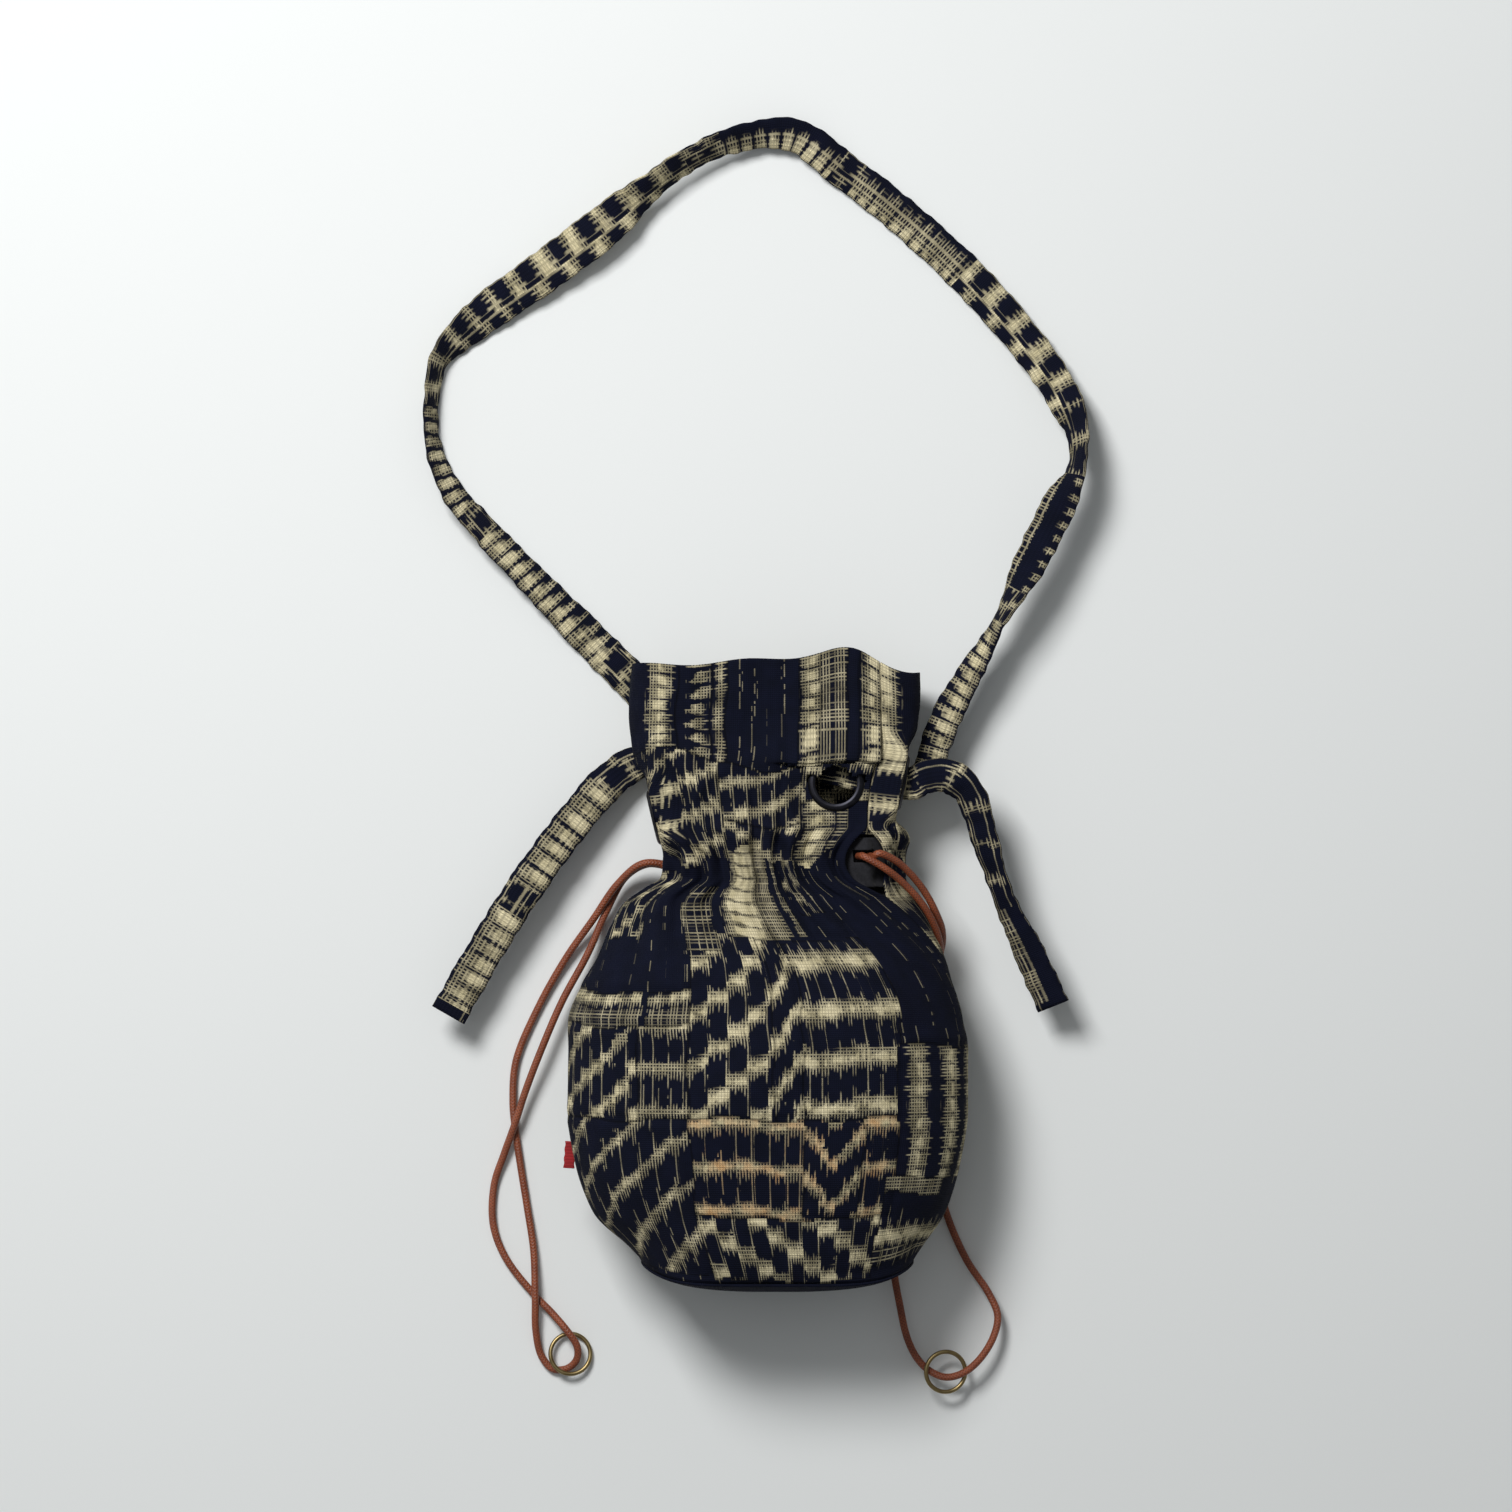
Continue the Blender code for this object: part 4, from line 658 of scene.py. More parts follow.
def kasuri_material():
    """Hand-woven indigo cotton: matt and nearly black, cream where threads were tied off before dyeing.

    A UV unit is 100 mm. Noise at scale 55 has grains of 1.8 mm, the width of a bundle of threads, and at
    scale 9 spots of 11 mm, where dye took unevenly. The wave at scale 29 repeats every 1.1 mm, which is coarser
    than the weave, so that it shows.
    """
    made, tree, shader = new_material("indigo_kasuri_cotton")
    uv = node(tree, "UVMap", uv_map="cloth")
    cream, reach_up, reach_across, tint, seam = (
        node(tree, "Attribute", attribute_name=name).outputs["Fac"]
        for name in ("cream", "reach_up", "reach_across", "tint", "seam"))
    place = node(tree, "SeparateXYZ", (uv,))
    wander = node(tree, "TexNoise", {"Vector": uv, "Scale": 55.0, "Detail": 3.0})
    patchy = node(tree, "TexNoise", {"Vector": uv, "Scale": 9.0, "Detail": 5.0})
    # Lone threads: lines at whole counts of the thread spacing, each as far past a block as luck takes it.
    masks, gaps = [], []
    for axis, reach in (("X", reach_up), ("Y", reach_across)):
        drift = node(tree, "Math", (wander, 0.16, -0.08), **SCALED)
        count = node(tree, "Math", (place.outputs[axis], 100 / THREAD, drift), **SCALED)
        thread = node(tree, "Math", (count,), **WHOLE)
        lucky = node(tree, "TexWhiteNoise", {"W": thread}, noise_dimensions="1D")
        middle = node(tree, "Math", (node(tree, "Math", (count,), **FRACTION), 0.5), **LESS)
        off = node(tree, "Math", (middle,), **SIZE)
        half_width = node(tree, "Math", (wander, 0.2, 0.1), **SCALED)
        line = node(tree, "Math", (node(tree, "Math", (half_width, off), **LESS), 6.0, 0.5), **CLAMPED)
        share = node(tree, "Math", (lucky, 0.75, 0.25), **SCALED)
        run = node(tree, "Math", (reach, share, cream), **SCALED)
        masks.append(node(tree, "Math", (line, node(tree, "Math", (run, 0.55, 0.4), **CLAMPED)), **TIMES))
        gaps.append(node(tree, "Math", (off, 2.0, -0.35), **CLAMPED))
    # Inside a block: solid cream with blots, its edge feathered thread by thread, open between its threads.
    half_threads = node(tree, "Math", (place.outputs["X"], 200 / THREAD), **TIMES)
    thread = node(tree, "Math", (half_threads,), **WHOLE)
    feather = node(tree, "TexWhiteNoise", {"W": thread}, noise_dimensions="1D")
    blots = node(tree, "Math", (patchy, 10.0, node(tree, "Math", (feather, 2.4, -8.6), **SCALED)), **SCALED)
    solid = node(tree, "Math", (cream, node(tree, "Math", (wander, 3.0, blots), **SCALED)), **PLUS)
    solid = node(tree, "Math", (solid, 0.55, 0.3), **CLAMPED)
    gap = node(tree, "Math", gaps, **LARGER)
    open_share = node(tree, "Math", (patchy, -0.9, -0.15), **SCALED)
    solid = node(tree, "Math", (solid, node(tree, "Math", (gap, open_share, 1.0), **SCALED)), **TIMES)
    fade = node(tree, "Math", (cream, 0.05, 0.92), **CLAMPED)
    thin = node(tree, "Math", (node(tree, "Math", masks, **LARGER), fade), **TIMES)
    thin = node(tree, "Math", (thin, node(tree, "Math", (patchy, 0.8, 0.2), **SCALED)), **TIMES)
    mask = node(tree, "Math", (solid, thin), **LARGER)
    # Colour: cream that is paler and yellower in spots, some of it dyed rust, over indigo of two depths.
    spots = node(tree, "Math", (patchy, 2.4, -0.7), **CLAMPED)
    pale = node(tree, "Mix", {"Factor": spots, "A": linear("#C4B890"), "B": linear("#FAEDC4")}, **COLOURS)
    dyed = node(tree, "Math", (tint, node(tree, "Math", (patchy, 3.6, -1.4), **CLAMPED)), **TIMES)
    warm = node(tree, "Mix", {"Factor": dyed, "A": pale, "B": linear("#D8AC78")}, **COLOURS)
    dark = node(tree, "Mix", {"Factor": patchy, "A": linear("#070A14"), "B": linear("#11152A")}, **COLOURS)
    colour = node(tree, "Mix", {"Factor": mask, "A": dark, "B": warm}, **COLOURS)
    # Plain weave: waves both ways. Painted shade: the colour is darkened between the threads and along the
    # seams.
    waves = [node(tree, "TexWave", {"Vector": uv, "Scale": 29.0, "Distortion": 1.5, "Detail Scale": 3.0},
                  bands_direction=way).outputs["Fac"] for way in "XY"]
    weave = node(tree, "Math", waves, **TIMES)
    # Closeness to a seam: it darkens the colour there as painted shade, and lowers the bump.
    groove = node(tree, "Math", (seam, 0.55, 0.35), **CLAMPED)
    shade = node(tree, "Math", (node(tree, "Math", (weave, 0.32, 0.76), **SCALED), groove), **TIMES)
    grey = node(tree, "CombineColor", (shade, shade, shade))
    shaded = node(tree, "Mix", {"Factor": 1.0, "A": colour, "B": grey}, blend_type="MULTIPLY", **COLOURS)
    relief = node(tree, "Math", (weave, 0.8, node(tree, "Math", (groove, 1.2), **TIMES)), **SCALED)
    height = node(tree, "Math", (mask, 0.5, relief), **SCALED)
    bump = node(tree, "Bump", {"Height": height, "Distance": 0.0004, "Strength": 0.8})
    feed(tree, shader, {"Base Color": shaded, "Normal": bump, "Roughness": 0.92, "Specular IOR Level": 0.12})
    return made


kasuri = kasuri_material()
print("kasuri material:", len(kasuri.node_tree.nodes), "nodes")

# %% [markdown]
# ## Front and back panel
# Each panel is one width of cloth from seam to seam, gathered at the neck. The gathers are waves whose depth
# grows towards the neck, with finer and less even folds laid over them, as a drawn cord gives.

# %% Panels
rng = np.random.default_rng(11)
PUFF, FINE_CREASE, BUNCH = 4.3 * MM, 0.5 * MM, 1.15 * MM
BUNCH_ABOVE_NECK, BUNCH_HALF_WIDTH = 14 * MM, 6.5 * MM
BULGE, BULGE_WAVES, BULGE_PER_METRE = 0.36 * MM, 12, 55
DRAPE = 0.75 * MM
GROOVE, GROOVE_HALF_WIDTH, GROOVE_SHOULDER, PUCKER = 0.75, 1.9, 0.4, 0.22
CREASE_SCALE = 1.15
FOLD_SLIDE, FOLD_LIFT, FLANGE_TUCK = 9, 5.5 * MM, 3.9 * MM
CLOTH_WIDTH = 280


def folds(share, y, pleats):
    """Depth inwards of the gathers: the frame's pleats, with a puff |cos|^0.65 outwards between the valleys.

    The valleys wander a little with height, and finer creases run beside them near the neck. Above it the
    cloth is bunched into a roll, a gaussian of uneven height.
    """
    swing = share + PLEAT_SWING * np.sin(6 * math.pi * share) + 0.004 * np.sin(y / 0.011 + 11 * share)
    depth = pleat_depth(y) * (0.5 - 0.5 * np.cos(2 * math.pi * pleats * swing))
    release = rise(y, NECK_ABOVE * 1.06, NECK_ABOVE * 1.4)
    gather = rise(y, NECK_ABOVE * 0.34, NECK_ABOVE * 0.95) * (1 - 0.75 * release)
    edge = np.clip(np.minimum(share, 1 - share) * 16, 0, 1)
    uneven = 0.75 + 0.4 * np.sin(23 * share + 1.1) * np.sin(9 * share)
    puff = np.abs(np.cos(math.pi * pleats * swing)) ** 0.65 * uneven
    fine = 0
    for k in range(6):
        turns, start, drift = rng.uniform(2.2, 4.8) * pleats, rng.uniform(0, 6.28), rng.uniform(-14, 14)
        fine = fine + np.abs(np.sin(math.pi * turns * share + start + drift * y / 0.1)) ** 0.8 - 0.6
    off = y - NECK_ABOVE - BUNCH_ABOVE_NECK + 2.5 * MM * np.sin(13 * share)
    bunch = np.exp(-((off / BUNCH_HALF_WIDTH) ** 2))
    bunch = bunch * (2.6 + 1.7 * np.sin(17 * share + 0.5) * np.sin(29 * share + 1) + 0.7 * np.sin(61 * share))
    return depth - edge * (gather * (PUFF * puff + FINE_CREASE * fine) + BUNCH * bunch)


def bulges(x, y, z):
    """Slow unevenness of a stuffed bag as a sum of plane waves, 2 mm at most."""
    total = 0
    for _ in range(BULGE_WAVES):
        wave, start = rng.normal(0, BULGE_PER_METRE, 3), rng.uniform(0, 6.28)
        total = total + np.sin(wave[0] * x + wave[1] * y + wave[2] * z + start)
    return BULGE * total


# Seams of the patchwork in cloth mm: along u at a height v, and along v at a place u.
LEVEL_SEAMS = (
    (57, -150, -45), (39, -150, -45), (-11, -150, 77), (-64, -45, 77), (86, -45, 79), (28, 79, 150),
)
UPRIGHT_SEAMS = (
    (-45, -97, 88), (21, -11, 86), (77, -97, 128), (-74, -11, 57), (-46, 86, 128), (30, 86, 128),
)


def seam_grooves(u, v):
    """Depth of the seams: a narrow gaussian groove between raised shoulders, puckered by a sine along it."""
    depth = 0 * u + 0 * v
    for across, along_it, lines in ((v, u, LEVEL_SEAMS), (u, v, UPRIGHT_SEAMS)):
        for at, low, high in lines:
            inside = rise(along_it, low - 3, low + 3) * (1 - rise(along_it, high - 3, high + 3))
            off = across - at
            groove = GROOVE * np.exp(-((off / GROOVE_HALF_WIDTH) ** 2))
            shoulders = GROOVE_SHOULDER * np.exp(-(((np.abs(off) - 4) / 2.6) ** 2))
            waves = np.sin(along_it * 0.95 + 2 * np.sin(along_it * 0.21))
            pucker = PUCKER * waves * np.exp(-((off / 5) ** 2))
            depth = depth + inside * (groove - shoulders + pucker)
    return depth * MM


# Creases of the gathered neck in cloth mm: from u, v to u, v, how far each stands out, and its half width.
CREASES = (
    (21, 149, 68, 134, 3.6, 4.2), (-36, 147, 13, 134, 2.8, 3.6), (-84, 160, -60, 134, 2.2, 4),
    (-43, 159, 5, 179, 1.9, 4), (78, 151, 112, 128, 2.8, 4.5), (28, 166, 62, 155, 1.8, 3.4),
    (-42, 100, -4, 126, 3.0, 5), (56, 126, 70, 86, 3.0, 5), (1, 126, -14, 84, 1.6, 3),
    (-98, 106, -56, 128, 3.0, 5.5), (112, 98, 82, 127, 2.6, 5), (28, 124, 33, 88, 1.5, 3.5),
    (-128, 92, -100, 120, 2.2, 6), (-70, 138, -30, 130, 2.4, 3.4), (60, 146, 96, 138, 2.2, 3),
    (-10, 152, 24, 141, 2.0, 3),
)


def creased(u, v):
    """How far creases stand out: the largest h * exp(-(d / w)^2), d the distance from a crease's line."""
    tall = 0 * u + 0 * v
    for u0, v0, u1, v1, height, half_width in CREASES:
        step_u, step_v = u1 - u0, v1 - v0
        share = np.clip(((u - u0) * step_u + (v - v0) * step_v) / (step_u**2 + step_v**2), 0, 1)
        bow = 3 * np.sin(math.pi * share)
        gap = np.hypot(0.75 * (u - u0 - share * step_u), v - v0 - share * step_v - bow)
        fade = 0.35 + 0.65 * np.sin(math.pi * share)
        tall = np.maximum(tall, height * np.exp(-((gap / half_width) ** 2)) * fade)
    return CREASE_SCALE * tall * MM


def collar_drape(share, y):
    """Soft upright folds of the standing collar, outwards only, up to 2 mm."""
    stand = rise(y, NECK_ABOVE * 1.15, NECK_ABOVE * 1.5)
    waves = np.sin(19 * share + 0.8) + 0.7 * np.sin(33 * share + y / 0.021)
    return -DRAPE * stand * (waves + 0.5 * np.sin(51 * share - y / 0.03) + 1.2)


def cover_fold(points, centre):
    """The collar folded down over the top of the front eyelet.

    Rows above a line slide down by A * exp(-((t - 5) / 6)^2), t their height over it in mm, and come forward
    by a wider gaussian. Above its middle the eyelet's flange is tucked under the cloth.
    """
    x, y, z = np.moveaxis(points, 2, 0)
    line = (180 + 5 * rise(x, -15 * MM, 20 * MM)) * MM
    share = rise(x, -30 * MM, 18 * MM) * (0.75 + 0.25 * np.cos((x - centre[0]) / (24 * MM)))
    t = (y - line) / MM
    offset_x, offset_y = x - centre[0], y - centre[1]
    radius = np.hypot(offset_x, offset_y)
    up = rise(offset_y / np.maximum(radius, 1 * MM), 0.02, 0.4)
    tuck = FLANGE_TUCK * up * (1 - rise(radius, 16.5 * MM, 27 * MM))
    slide = share * (FOLD_SLIDE + 1.4 * np.sin(x / (9 * MM))) * MM * np.exp(-(((t - 5) / 6) ** 2))
    lift = share * FOLD_LIFT * np.exp(-(((t - 6) / 7.5) ** 2))
    return np.stack((x, y - slide, z + np.maximum(lift, tuck) + 0.35 * np.minimum(lift, tuck)), 2)


def grid_normals(points):
    """Unit normals of a grid: the cross product of its central differences along columns and rows."""
    normal = np.cross(np.gradient(points, axis=0), np.gradient(points, axis=1))
    return normal / np.maximum(np.linalg.norm(normal, axis=2, keepdims=True), 1e-9)


def collar_edge(u):
    """Height in mm of the seam between body and collar: it runs in waves, because the cloth bunches there."""
    return 129 + 4.5 * np.sin(u / 21 + 1.2) + 2.5 * np.sin(u / 8.3)


def panel(name, node_name, front, columns, pleats, body_patches, collar_patches):
    """One panel from seam to seam: sections moved in by folds, bulges and seams, with the eyelets' holes."""
    rows = np.concatenate((
        np.linspace(-BASE_BELOW, 0.83 * NECK_ABOVE, 110, endpoint=False),
        np.linspace(0.83 * NECK_ABOVE, NECK_ABOVE + COLLAR_HEIGHT, 96),
    ))
    y = rows[:, None]
    section = sections(rows)
    right, left = seam_places(rows, section)
    whole = section[1][:, -1]
    start, end = (right, left) if front else (left, whole + right)
    trim = slit(rows) + SEAM_GAP / 4
    share = np.linspace(0, 1, columns + 1)[None, :]
    places = (start + trim)[:, None] + (end - start - 2 * trim)[:, None] * share
    point, inward = along(section, places)
    depth = folds(share, y, pleats)
    flat_rest = rise(point[..., 1], 1 * MM, 8 * MM)
    ease = np.minimum(share, 1 - share) * 20
    u = (0.5 - share[0] if front else share[0] - 0.5) * CLOTH_WIDTH
    v = rows * 1000
    soft = flat_rest * np.clip(ease, 0, 1) * rise(y, -BASE_BELOW, -BASE_BELOW * 0.8)
    calmer = 1 - 0.5 * rise(y, NECK_ABOVE, NECK_ABOVE * 1.2)
    depth = depth + soft * bulges(point[..., 0], y, point[..., 1]) * calmer
    depth = depth + soft * collar_drape(share, y)
    if front:
        depth = depth + soft * (seam_grooves(u[None, :], v[:, None]) - creased(u[None, :], v[:, None]))
    x = point[..., 0] + inward[..., 0] * depth
    z = np.maximum(point[..., 1] + inward[..., 1] * depth, 0)
    outer = np.stack((x, shaped(y + 0 * x, x, z), z), 2)
    way = np.stack((inward[..., 0], 0 * x, inward[..., 1]), 2)
    outer, way = flatten(outer, way)
    keep = np.ones((len(rows) - 1, columns), bool)
    for seat_name, (centre, normal) in SEATS.items():
        middle = (outer[:-1, :-1] + outer[1:, 1:]) / 2 - centre
        off = middle @ normal
        radius = np.linalg.norm(middle - off[..., None] * normal, axis=2)
        reach = EYELET_BORE / 2 + EYELET_WALL + 1.2 * MM
        if seat_name == "front_right":
            # The collar is folded down over this one: its hole is smaller above and wider beside the flange.
            up = middle[..., 1] / np.maximum(radius, 1 * MM)
            reach = np.where(up > 0, EYELET_DIAMETER / 2 + 0.9 * MM, reach)
            reach = np.where(up > 0.3, EYELET_BORE / 2 - 1.5 * MM, reach)
        keep &= ~((radius < reach) & (np.abs(off) < 4 * MM))
    if front:
        outer = cover_fold(outer, SEATS["front_right"][0])
    facing = grid_normals(outer)
    facing *= -np.sign(np.sum(facing * way, axis=2, keepdims=True))
    blend = rise(z, 3 * MM, 9 * MM)[..., None]
    inward3 = way * (1 - blend) - facing * blend
    inner = outer + inward3 / np.linalg.norm(inward3, axis=2, keepdims=True) * CLOTH
    body_fill, collar_fill = patchwork(body_patches), patchwork(collar_patches)

    def pattern(corner_u, corner_v):
        collar = corner_v.mean(1, keepdims=True) > collar_edge(corner_u.mean(1, keepdims=True))
        collar_u = corner_u * COLLAR_SCALE
        stand = 1 - rise(corner_v, 176, 205)
        left_rise = 11 * np.exp(-(((collar_u + 42) / 20) ** 2))
        slant = stand * (left_rise - 5 * np.exp(-(((collar_u - 22) / 17) ** 2)))
        low, high = body_fill(*crooked(corner_u, corner_v)), collar_fill(*crooked(collar_u, corner_v - slant))
        return {k: np.where(collar, high[k], low[k]) for k in low}

    made = shell(name, outer, inner, u, v, kasuri, keep=keep, pattern=pattern)
    uv = made.data.uv_layers["cloth"]
    values = np.zeros(len(uv.data) * 2, np.float32)
    uv.data.foreach_get("uv", values)
    values = values.reshape(-1, 4, 2)
    high = values[:, :, 1].mean(1) * 100 > collar_edge(values[:, :, 0].mean(1) * 100)
    values[high, :, 0] *= COLLAR_SCALE
    uv.data.foreach_set("uv", values.ravel())
    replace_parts(made, node_name)
    print(name, len(made.data.polygons), "faces")
    return made


front = panel("front_cloth", "front_panel", True, 140, 8, FRONT_PATCHES, COLLAR_PATCHES)
back = panel("back_cloth", "back_panel", False, 140, 5, BACK_PATCHES, BACK_COLLAR_PATCHES)

# %% [markdown]
# ## Base
# An oval of the same cloth closes the bottom. It domes outwards a little under what is in the bag.

# %% Base
BASE_DOME = 8 * MM


def base_cloth():
    """Rings of the base section scaled towards its middle, pushed out by dome * (1 - scale^2)."""
    section = sections(-BASE_BELOW)
    count = 160
    edge, _ = along(section, (section[1][0, -1] * np.arange(count) / count)[None, :])
    centre = np.array((BASE_LEAN, BASE_LIFT + BASE_DEPTH / 2))
    scale = np.array([0.004, *np.linspace(0.08, 1, 40)])[:, None]
    x = between(centre[0], edge[..., 0], scale)
    z = between(centre[1], edge[..., 1], scale)
    y = shaped(-BASE_BELOW + 0 * x, x, z) - GAP - BASE_DOME * (1 - scale**2)
    inner = np.stack((x, y, z), 2)
    outer = inner - np.array((0, CLOTH, 0))
    made = shell("base_cloth", outer, inner, np.arange(count) * 2.0, scale[:, 0] * 60, kasuri,
                 wrap=True, pattern=patchwork(()))
    corners = np.zeros(len(made.data.loops), np.int32)
    made.data.loops.foreach_get("vertex_index", corners)
    place = np.zeros(len(made.data.vertices) * 3, np.float32)
    made.data.vertices.foreach_get("co", place)
    place = place.reshape(-1, 3)[corners]
    made.data.uv_layers["cloth"].data.foreach_set("uv", (place[:, (0, 2)] * 10).ravel())
    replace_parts(made, "base_panel")
    return made


base = base_cloth()
print("base", len(base.data.polygons), "faces")

# %% [markdown]
# ## Lining and cord casing
# A plain black pouch hangs inside, and a black casing runs round the neck between it and the outer cloth. The
# casing shows in the two slits, where the cords leave it.

# %% Black cotton
def black_material():
    """Plain black cotton, washed soft: dull grey-black with grains of 1.1 mm, coarser than its weave."""
    made, tree, shader = new_material("black_cotton")
    place = node(tree, "TexCoord").outputs["Object"]
    weave = node(tree, "TexNoise", {"Vector": place, "Scale": 900.0, "Detail": 2.0})
    colour = node(tree, "Mix", {"Factor": weave, "A": linear("#101014"), "B": linear("#2A2A2E")}, **COLOURS)
    bump = node(tree, "Bump", {"Height": weave, "Distance": 0.0003, "Strength": 0.6})
    feed(tree, shader, {"Base Color": colour, "Normal": bump, "Roughness": 0.9, "Specular IOR Level": 0.25,
                        "Sheen Weight": 0.06})
    return made


black_cotton = black_material()
CORD_DIAMETER, CORD_PITCH, CHANNEL_EDGE = 4 * MM, 6.7 * MM, 6.7 * MM
CHANNEL = (NECK_ABOVE - CORD_PITCH, NECK_ABOVE + CORD_PITCH)
CORD_IN = PLEAT_DEPTH + CLOTH + GAP + BAND + GAP + CORD_DIAMETER / 2 + SLACK


def lining_pouch():
    """Inset sections; the inset grows round the cord channel and near the base."""
    floor_y = -BASE_BELOW + 1.5 * MM
    y = np.concatenate((np.full(12, floor_y), np.linspace(floor_y, CHANNEL[1] + CHANNEL_EDGE + 1.5 * MM, 70)))
    scale = np.concatenate((np.linspace(0.01, 0.98, 12), np.ones(70)))
    plain = CLOTH + GAP + SLACK + pleat_depth(y) + 2 * MM * (1 - rise(y, -BASE_BELOW, -BASE_BELOW * 0.6))
    deep = CORD_IN + CORD_DIAMETER / 2 + GAP + SLACK
    low, high = CHANNEL
    near = rise(y, low - 30 * MM, low - 2 * MM) * (1 - rise(y, high + 2 * MM, high + 25 * MM))
    count = 120
    rows, ways = [], []
    for this_y, this_scale, inset in zip(y, scale, between(plain, deep, near)):
        section = sections(this_y, inset)
        right, _ = seam_places(this_y, section)
        places = right + section[1][0, -1] * np.arange(count) / count
        point, inward = along(section, places[None, :])
        x = between(BASE_LEAN, point[0, :, 0], this_scale)
        z = between(BASE_LIFT + BASE_DEPTH / 2, point[0, :, 1], this_scale)
        rows.append(np.stack((x, shaped(this_y, x, z), z), 1))
        side = np.stack((inward[0, :, 0], 0 * x, inward[0, :, 1]), 1)
        ways.append(side * (this_scale == 1) + np.array((0, 1.0, 0)) * (this_y == floor_y))
    outer = np.stack(rows)
    inner = outer + np.stack(ways) * LINING
    made = shell("lining_pouch", outer, inner, np.arange(count) * 4.0, y * 1000, black_cotton,
                 wrap=True)
    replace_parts(made, "lining")
    return made


def casing():
    """Band round the neck, bulging into the slits by a cosine squared, with its two cord holes left open."""
    depth = PLEAT_DEPTH + CLOTH + GAP
    swell = depth - GAP
    y = np.linspace(CHANNEL[0] - CHANNEL_EDGE, CHANNEL[1] + CHANNEL_EDGE, 29)
    section = sections(y)
    right, left = seam_places(y, section)
    whole = section[1][:, -1]
    half = 90
    share = np.arange(half) / half
    places = np.concatenate((
        right[:, None] + (left - right)[:, None] * share,
        left[:, None] + (whole + right - left)[:, None] * share,
    ), 1)
    seams = np.stack((right, left, whole + right), 1)
    away = np.abs(places[:, :, None] - seams[:, None, :]).min(2)
    reach = np.maximum(slit(y) - 1 * MM, 1 * MM)[:, None]
    bump = np.cos(np.clip(math.pi * away / reach / 2, 0, math.pi / 2)) ** 2
    bump = swell * (slit(y) / SLIT_HALF_WIDTH)[:, None] * bump
    point, inward = along(section, places)
    depth = depth - bump + 0.25 * MM * np.sin(places * 900 + 3 * np.sin(y[:, None] * 500)) * (bump > 0.3 * MM)
    outer = np.stack((point[..., 0] + inward[..., 0] * depth, y[:, None] + 0 * depth,
                      point[..., 1] + inward[..., 1] * depth), 2)
    way = np.stack((inward[..., 0], 0 * depth, inward[..., 1]), 2)
    keep = np.ones((len(y) - 1, 2 * half), bool)
    mid_y = (y[1:] + y[:-1]) / 2
    mid = (away[:-1] + away[1:]) / 2
    near_right = np.minimum(np.arange(2 * half), 2 * half - np.arange(2 * half)) < half / 2
    for side, at in ((near_right, NECK_ABOVE + CORD_PITCH / 2), (~near_right, NECK_ABOVE - CORD_PITCH / 2)):
        hole = (np.abs(mid_y - at) < 3 * MM)[:, None] & (mid < 7.5 * MM) & side[None, :]
        keep &= ~hole
    made = shell("casing", outer, outer + way * BAND, np.arange(2 * half) * 3.0, y * 1000, black_cotton,
                 wrap=True, keep=keep)
    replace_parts(made, "channel_band")
    return made


lining_made, casing_made = lining_pouch(), casing()
print("lining", len(lining_made.data.polygons), "faces; casing", len(casing_made.data.polygons), "faces")

# %% [markdown]
# ## What each cloth was cut to
# The sizes the sheets were cut to before they were sewn and gathered are worked out here, and those of the
# panels and the base are printed. The panels and the lining are cut as wide as the bag is round its belly, and
# as long as it is from base to mouth over the curve. The area of the base is that of its rounded outline, by
# the shoelace formula.

# %% Flat cuts
CURVE_ALLOWANCE = 10 * MM


def girth(y):
    return float(sections(y)[1][0, -1])


long_way = BASE_BELOW + NECK_ABOVE + COLLAR_HEIGHT + CURVE_ALLOWANCE
for cloth in (front, back):
    girth(0.0) / 2
edge_x, edge_z = sections(-BASE_BELOW)[0][0].T
base_area = abs(float(np.sum(edge_x[:-1] * edge_z[1:] - edge_x[1:] * edge_z[:-1]))) / 2
girth(0.0)
girth(NECK_ABOVE)
print("base", round(base_area * 1e4, 1), "square cm; belly", round(girth(0.0) * 1000), "mm round;",
      "panels cut", round(girth(0.0) * 500), "x", round(long_way * 1000), "mm")

# %% [markdown]
# ## Eyelets, washers and rings
# Stamped eyelets in dark gunmetal: a domed flange outside, a barrel, and its end rolled over a washer inside.
# The rings are drawn brass wire, bent round and aged. All are profiles carried round an axis.

# %% Metals
def metal_material(name, low, high, roughness):
    """Plated steel or aged brass: blotches of about 4 mm in colour and gloss, as handling leaves."""
    made, tree, shader = new_material(name)
    place = node(tree, "TexCoord").outputs["Object"]
    spots = node(tree, "TexNoise", {"Vector": place, "Scale": 260.0, "Detail": 5.0})
    colour = node(tree, "Mix", {"Factor": spots, "A": linear(low), "B": linear(high)}, **COLOURS)
    rough = node(tree, "MapRange", {"Value": spots, "To Min": roughness - 0.08, "To Max": roughness + 0.15})
    bump = node(tree, "Bump", {"Height": spots, "Distance": 0.0001, "Strength": 0.35})
    feed(tree, shader, {"Base Color": colour, "Normal": bump, "Roughness": rough, "Metallic": 1.0})
    return made


gunmetal = metal_material("stamped_gunmetal_eyelet", "#1E1E24", "#3C3C42", 0.4)
old_brass = metal_material("aged_brass_wire", "#6B5A3A", "#A8956A", 0.36)


